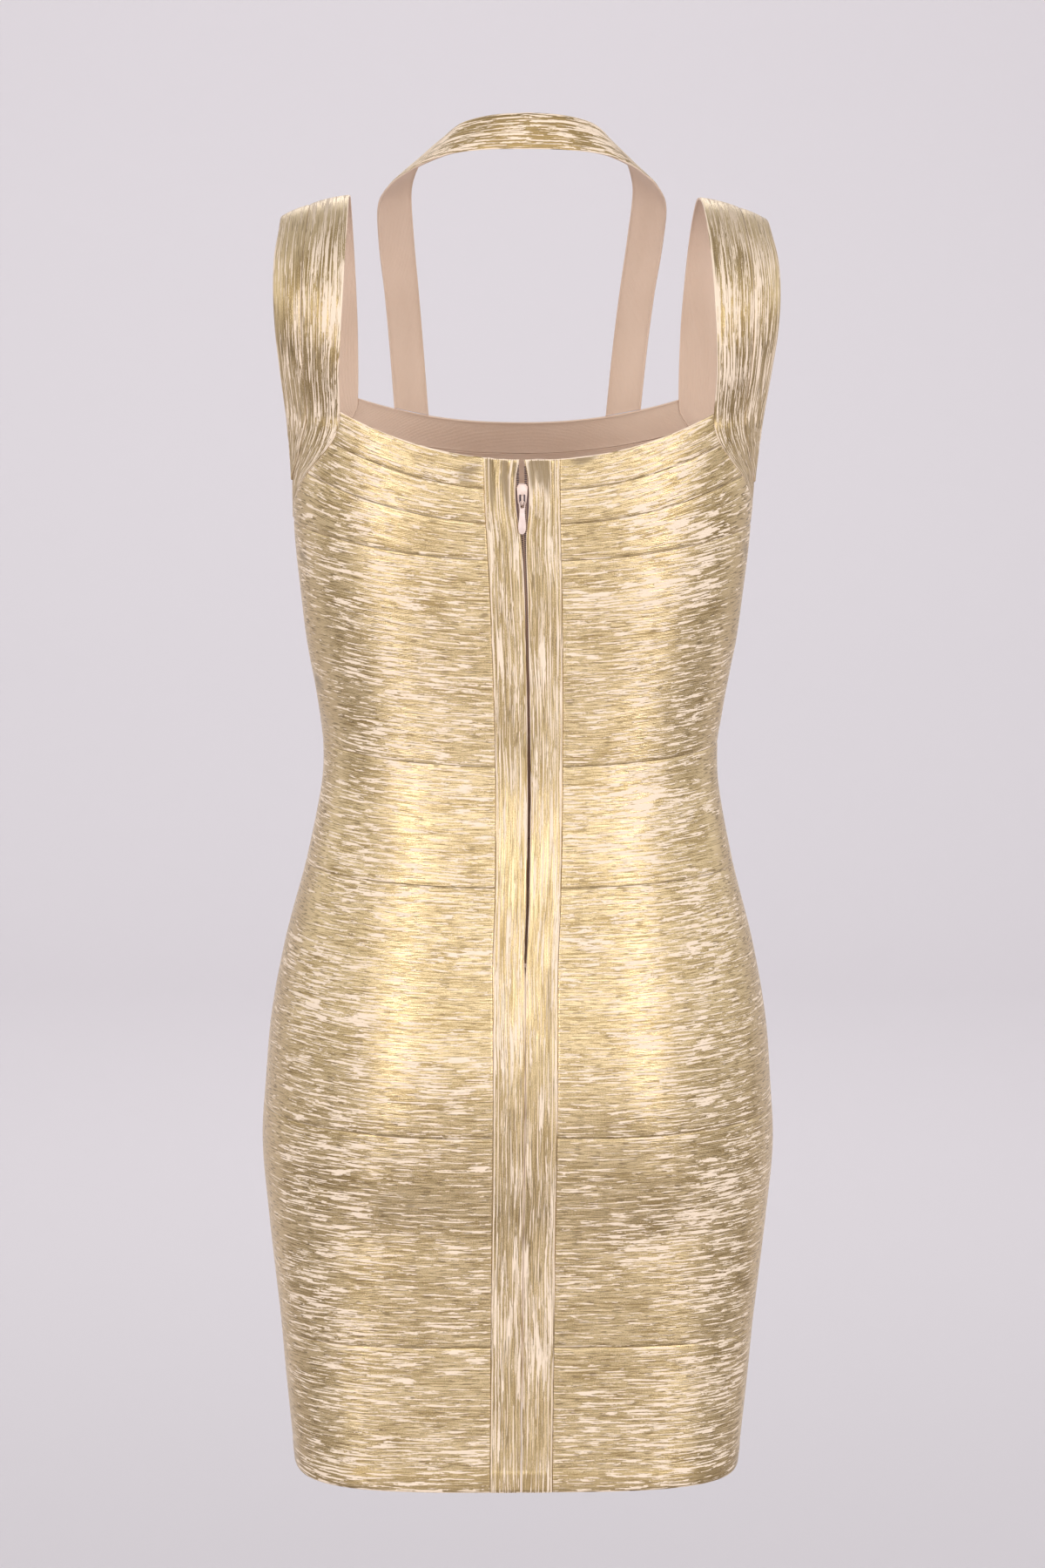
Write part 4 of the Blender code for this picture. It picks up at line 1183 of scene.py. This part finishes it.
def halter_band():
    rows = halter_rows()

    def point_at(across, down):
        turn = 2 * down - 1
        row = smooth_rows(rows, np.abs(turn) * (len(rows) - 1))
        point = row[:, 0:3] + (row[:, 3:6] - row[:, 0:3]) * across[:, None]
        point[:, 0] *= np.where(turn < 0, -1, 1)
        return point

    def relief(points, across, down):
        return STRIP_CROWN * np.sin(math.pi * across) ** 0.6

    def away(points):
        return from_axis(points) - (0, 0, HALTER_MIDDLE_HEIGHT)

    line = point_at(np.full(120, 0.5), np.linspace(0, 1, 120))
    length = float(np.linalg.norm(np.diff(line, axis=0), axis=1).sum())
    cloth("knit_halter", "halter_band", (HALTER_WIDTH, length), point_at, ("free", "free", "seam", "seam"),
          (foil_nape, inside), relief, away, lengthwise=True, cell=STRAP_CELL)


halter_band()

# %% [markdown]
# ## Zip
# The zip lies behind the strips, so only its slider, its pull tab and a dark slit show. It is
# made whole all the same, since the inside of the dress can be seen: two woven tapes, a coil of
# separate turns on each, two top stops, a staple at the bottom, and a slider with its bridge.
# The coil could be one ribbed strip, but turns that catch the light one by one read as teeth.

# %% Zip sizes
ZIP_TOP = -167.0
ZIP_BOTTOM = -487.5
CHAIN_HALF_WIDTH = 2.15
CHAIN_FACE = -1.8
CHAIN_SPREAD = 1.5
CHAIN_CLOSED = 0.15
SPREAD_HEIGHT = -186.0
SPREAD_END = -182.5
TAPE_THICK = 1.0
TAPE_WIDTH = 11.0
TAPE_GAP = 0.3
TURN_PITCH = 1.3
TURN_SIZE = (1.02, 0.62, 0.46)
TURN_DEPTH = 0.72
CHAIN_START = 0.8
CHAIN_END = 0.6
STOP_SIZE = (2.1, 1.8, 3.0)
STOP_HIGH = 1.9
SLIDER_TOP = -179.0
SLIDER_LENGTH = 14.0
SLIDER_HALF_WIDTH = 3.5
SLIDER_TAIL = 2.8
SLIDER_FACE = 0.2
SLIDER_PLATE = 1.6
BACK_PLATE_FACE = -3.6
BACK_PLATE = 0.9
POST_HALF_WIDTH = 0.8
POST_LENGTH = 3.0
BRIDGE_TOP = -185.9
BRIDGE_LENGTH = 6.2
BRIDGE_LEG = 1.2
BRIDGE_HALF_WIDTH = 0.8
BRIDGE_ROOM = 1.95
BRIDGE_BAR = 0.9
SHADE_PLATE_HALF_WIDTH = 1.9
SHADE_PLATE_PROUD = 0.08
TAB_THICK = 0.9
TAB_ROUND = 0.25
TAB_PIVOT_DEPTH = 1.15
TAB_PIVOT_HEIGHT = -190.0
TAB_PIN = 1.0
TAB_EYE = 4.6
TAB_EYE_HALF_WIDTH = 1.15
TAB_TOP_HALF_WIDTH = 1.95
TAB_WAIST_HALF_WIDTH = 1.7
TAB_HALF_WIDTH = 2.55
TAB_LENGTH = 22.0
ROUND = {"plate": 0.42, "post": 0.2, "back": 0.3, "bridge": 0.22, "painted_shade_plate": 0.1, "stop": 0.35, "staple": 0.5}


# %% Zip materials
def tape_finish():
    """Twill: a fine slanted rib on matt yarn."""
    f = Finish("plum_tape")
    place = f.add("ShaderNodeUVMap", uv_map="knit").outputs["UV"]
    split = f.add("ShaderNodeSeparateXYZ", {0: place})
    slanted = f.sum("ADD", split.outputs["X"], split.outputs["Y"])
    rib = f.sum("SINE", f.sum("MULTIPLY", slanted, 2 * math.pi / 0.0011))
    fuzz = f.noise(place, (900, 900), 2.0, 0.6)
    colour = f.mix(fuzz, (0.24, 0.155, 0.15, 1), (0.36, 0.25, 0.235, 1))
    relief = f.sum("MULTIPLY_ADD", rib, 0.35, f.sum("MULTIPLY", fuzz, 0.4))
    f.put(Base_Color=colour, Roughness=0.9, Normal=f.bump(relief, 0.00025))
    return f.material


def hard_finish(name, low, high, metallic, rough):
    """Enamel or nylon with a slow change of tone and a faint grain."""
    f = Finish(name)
    place = f.add("ShaderNodeTexCoord").outputs["Object"]
    cloud = f.add("ShaderNodeTexNoise", {"Vector": place, "Scale": 260.0, "Detail": 2.0}).outputs["Fac"]
    grain = f.add("ShaderNodeTexNoise", {"Vector": place, "Scale": 2600.0, "Detail": 2.0}).outputs["Fac"]
    colour = f.mix(f.between(cloud, 0.35, 0.65), low, high)
    dull = f.sum("MULTIPLY_ADD", grain, 0.16, rough)
    f.put(Base_Color=colour, Metallic=metallic, Roughness=dull, Normal=f.bump(grain, 0.00004))
    return f.material


tape = tape_finish()
# The coil's dark plum is partly its own colour and partly painted shade for the slit between the strips; the
# slider's painted shade plate uses it too.
coil = hard_finish("plum_nylon_and_painted_shade", (0.05, 0.028, 0.038, 1), (0.09, 0.055, 0.066, 1), 0.0, 0.5)
enamel = hard_finish("blush_zip_metal", (0.74, 0.56, 0.48, 1), (0.86, 0.68, 0.60, 1), 0.35, 0.24)
tab_enamel = hard_finish("blush_enamel", (0.86, 0.67, 0.60, 1), (0.93, 0.75, 0.68, 1), 0.0, 0.26)


# %% Tapes
def chain_spread(height):
    """How far each half of the chain lies from the zip's line: apart above the slider."""
    share = np.clip((height - SPREAD_HEIGHT) / (SPREAD_END - SPREAD_HEIGHT), 0, 1)
    return CHAIN_CLOSED + (CHAIN_SPREAD - CHAIN_CLOSED) * share


def deep_beside_zip(distance, height, depth):
    """Points at a signed distance from the zip's line and a depth under the dress's face."""
    line = line_of_height(height)
    face = beside_zip(distance, line)
    right = beside_zip(distance + 0.5, line) - beside_zip(distance - 0.5, line)
    down = beside_zip(distance, line_of_height(height - 1)) - face
    inwards = np.cross(right, down)
    inwards *= -np.sign(inwards[:, 1:2]) / np.linalg.norm(inwards, axis=1, keepdims=True)
    return face + inwards * depth


def zip_tape(side):
    def point_at(across, down):
        height = ZIP_TOP + (ZIP_BOTTOM - ZIP_TOP) * down
        start = chain_spread(height) + CHAIN_HALF_WIDTH + TAPE_GAP
        return deep_beside_zip(side * (start + TAPE_WIDTH * across), height, -CHAIN_FACE)

    cloth(f"tape_{WORD[side]}", f"zip_tape_{WORD[side]}", (TAPE_WIDTH, ZIP_TOP - ZIP_BOTTOM), point_at,
          ("side seam",) * 4, (tape, tape), lengthwise=True, thick=TAPE_THICK)


# %% Small hard pieces
def hard_piece(name, work, finish, node, body="root"):
    mesh = bpy.data.meshes.new(name)
    bmesh.ops.recalc_face_normals(work, faces=work.faces)
    bmesh.ops.scale(work, vec=(MM, MM, MM), verts=work.verts)
    work.to_mesh(mesh)
    work.free()
    made = into_scene(name, mesh)
    mesh.materials.append(finish)
    mesh.shade_smooth()
    mesh.set_sharp_from_angle(angle=math.radians(50))
    place_piece(made, node, body)
    print(f"{name}: {len(mesh.polygons)} faces")
    return made


def slab(work, outline, direction, roundness):
    """A rounded slab: an outline of corners pushed along a direction."""
    face = work.faces.new([work.verts.new(corner) for corner in outline])
    pushed = bmesh.ops.extrude_face_region(work, geom=[face])["geom"]
    corners = [item for item in pushed if isinstance(item, bmesh.types.BMVert)]
    bmesh.ops.translate(work, vec=direction, verts=corners)
    whole = {corner for corner in corners} | set(face.verts)
    edges = [edge for edge in work.edges if set(edge.verts) <= whole]
    bmesh.ops.bevel(work, geom=edges, offset=roundness, offset_type="OFFSET", segments=2,
                    profile=0.5, affect="EDGES", material=-1, clamp_overlap=True)


def block(work, low, high, roundness):
    (x0, y0, z0), (x1, y1, z1) = low, high
    slab(work, [(x0, y0, z0), (x1, y0, z0), (x1, y0, z1), (x0, y0, z1)], (0, y1 - y0, 0), roundness)


def coil_side(side):
    """One half of the chain: a turn of nylon every 1.3 mm, the two halves half a pitch apart."""
    work = bmesh.new()
    shift = TURN_PITCH / 2 if side < 0 else 0.0
    heights = np.arange(ZIP_TOP - CHAIN_START - shift, ZIP_BOTTOM + CHAIN_END, -TURN_PITCH)
    middle = chain_spread(heights) + CHAIN_HALF_WIDTH / 2
    places = deep_beside_zip(side * middle, heights, -CHAIN_FACE + TURN_DEPTH)
    bmesh.ops.create_uvsphere(work, u_segments=8, v_segments=6, radius=1.0,
                              matrix=Matrix.Diagonal((*TURN_SIZE, 1.0)))
    turn = [corner.co.copy() for corner in work.verts]
    faces = [[corner.index for corner in face.verts] for face in work.faces]
    work.clear()
    for place in places:
        corners = [work.verts.new(corner + Vector(place)) for corner in turn]
        for face in faces:
            work.faces.new([corners[number] for number in face])
    hard_piece(f"coil_{WORD[side]}", work, coil, f"zip_chain_{WORD[side]}")


def top_stop(side):
    top = deep_beside_zip(np.zeros(1), np.array([ZIP_TOP]), -CHAIN_FACE)[0]
    middle = top[0] + side * (CHAIN_SPREAD + CHAIN_HALF_WIDTH / 2)
    half = STOP_SIZE[0] / 2
    work = bmesh.new()
    block(work, (middle - half, top[1] - STOP_SIZE[1] + 0.2, top[2] + TAPE_GAP),
          (middle + half, top[1] + 0.2, top[2] + TAPE_GAP + STOP_HIGH), ROUND["stop"])
    hard_piece(f"top_stop_{WORD[side]}", work, enamel, f"zip_top_stop_{WORD[side]}")


def bottom_stop():
    end = deep_beside_zip(np.zeros(1), np.array([ZIP_BOTTOM]), -CHAIN_FACE)[0]
    width, deep, tall = STOP_SIZE
    top = end[2] - 1.0
    work = bmesh.new()
    block(work, (end[0] - width, end[1] - deep, top - tall), (end[0] + width, end[1], top),
          ROUND["staple"])
    hard_piece("bottom_staple", work, enamel, "zip_bottom_stop")


# %% Slider and pull tab
def slider_place():
    middle = SLIDER_TOP - SLIDER_LENGTH / 2
    return beside_zip(np.zeros(1), line_of_height(np.array([middle])))[0]


def slider():
    x, y, _ = slider_place()
    face, bottom = y + SLIDER_FACE, SLIDER_TOP - SLIDER_LENGTH
    half, tail = SLIDER_HALF_WIDTH, SLIDER_TAIL
    waist = SLIDER_TOP - 0.55 * SLIDER_LENGTH
    right = [(half - 1.2, SLIDER_TOP), (half, SLIDER_TOP - 2.0), (half - 0.3, waist),
             (tail, bottom + 1.5), (tail - 1.0, bottom)]
    # the plate's right side from its shoulder to its tail, and the same on the left
    outline = right + [(-across, z) for across, z in reversed(right)]
    work = bmesh.new()
    slab(work, [(x + across, face - SLIDER_PLATE, z) for across, z in outline],
         (0, SLIDER_PLATE, 0), ROUND["plate"])
    deep = y + BACK_PLATE_FACE
    block(work, (x - POST_HALF_WIDTH, deep - 0.3, SLIDER_TOP - 0.6 - POST_LENGTH),
          (x + POST_HALF_WIDTH, face - SLIDER_PLATE / 2, SLIDER_TOP - 0.6), ROUND["post"])
    block(work, (x - half + 0.2, deep - BACK_PLATE, bottom + 0.5),
          (x + half - 0.2, deep, SLIDER_TOP), ROUND["back"])
    low, high = BRIDGE_TOP - BRIDGE_LENGTH, BRIDGE_TOP
    base, under = face - 0.3, face + BRIDGE_ROOM
    top = under + BRIDGE_BAR
    arch = [(low, base), (low, under + 0.3), (low + 0.9, top), (high - 0.9, top), (high, under + 0.3),
            (high, base), (high - BRIDGE_LEG, base), (high - BRIDGE_LEG, under),
            (low + BRIDGE_LEG, under), (low + BRIDGE_LEG, base)]
    left = x - BRIDGE_HALF_WIDTH
    slab(work, [(left, out, z) for z, out in arch], (2 * BRIDGE_HALF_WIDTH, 0, 0), ROUND["bridge"])
    # A dark plate under the bridge is painted shade: it stands for the shadow in the gap under the bridge.
    pale = set(work.faces)
    block(work, (x - SHADE_PLATE_HALF_WIDTH, face - 0.2, low + 0.8),
          (x + SHADE_PLATE_HALF_WIDTH, face + SHADE_PLATE_PROUD, high), ROUND["painted_shade_plate"])
    for painted_shade_plate in set(work.faces) - pale:
        painted_shade_plate.material_index = 1
    hard_piece("slider", work, enamel, "zip_slider").data.materials.append(coil)


def drop_outline(turn):
    """The tab's half width at a share of its length, and the height there, from the pivot."""
    height = TAB_PIN / 2 - turn * TAB_LENGTH
    shares = (0.0, 0.02, 0.06, 0.16, 0.34, 0.55, 0.76, 0.88, 0.95, 0.985, 1.0)
    widths = (0.0, 1.1, 1.75, TAB_TOP_HALF_WIDTH, TAB_WAIST_HALF_WIDTH, 2.15,
              TAB_HALF_WIDTH, 2.4, 1.7, 0.95, 0.0)
    return np.interp(turn, shares, widths), height


def pull_tab():
    """A flat drop with a long eye. Its ring of points and the eye's ring are joined by faces."""
    x, y, _ = slider_place()
    pivot = np.array([x, y + TAB_PIVOT_DEPTH, TAB_PIVOT_HEIGHT])
    ring = 44
    turns = (1 - np.cos(np.linspace(0, math.pi, ring // 2 + 1))) / 2
    wide, high = drop_outline(turns)
    outer = [(w, z) for w, z in zip(wide, high)] + [(-w, z) for w, z in zip(wide[-2:0:-1], high[-2:0:-1])]
    eye_top, eye_low = -TAB_PIN / 2, -TAB_EYE
    middle, half = (eye_top + eye_low) / 2, (eye_top - eye_low) / 2
    angles = np.linspace(0, 2 * math.pi, ring, endpoint=False)
    inner = [(TAB_EYE_HALF_WIDTH * np.sign(math.sin(a)) * abs(math.sin(a)) ** 0.5,
              middle + half * np.sign(math.cos(a)) * abs(math.cos(a)) ** 0.5) for a in angles]
    work = bmesh.new()
    levels = []
    half_thick = TAB_THICK / 2
    shoulder = half_thick - TAB_ROUND
    for out, shrink in ((-half_thick, TAB_ROUND), (-shoulder, 0.0), (shoulder, 0.0), (half_thick, TAB_ROUND)):
        loops = []
        for loop, sign in ((outer, -1), (inner, 1)):
            centre = np.mean(loop, axis=0)
            points = []
            for place in loop:
                away = np.array(place) - centre
                away /= max(np.linalg.norm(away), 1e-6)
                across, z = np.array(place) + sign * shrink * away
                points.append(work.verts.new(pivot + (across, out, z)))
            loops.append(points)
        levels.append(loops)
    for n in range(ring):
        m = (n + 1) % ring
        for (outer_low, inner_low), (outer_high, inner_high) in zip(levels, levels[1:]):
            work.faces.new((outer_low[n], outer_low[m], outer_high[m], outer_high[n]))
            work.faces.new((inner_low[m], inner_low[n], inner_high[n], inner_high[m]))
        for outer_loop, inner_loop in (levels[0], levels[-1]):
            work.faces.new((outer_loop[n], outer_loop[m], inner_loop[m], inner_loop[n]))
    hard_piece("tab", work, tab_enamel, "pull_tab", body="pull_tab")


for wearer_side in (1, -1):
    zip_tape(wearer_side)
    coil_side(wearer_side)
    top_stop(wearer_side)
bottom_stop()
slider()
pull_tab()

# %% Size and finish
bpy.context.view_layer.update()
faces = sum(len(o.data.polygons) for o in pieces_made)
print("faces in all:", faces, "pieces:", len(pieces_made))
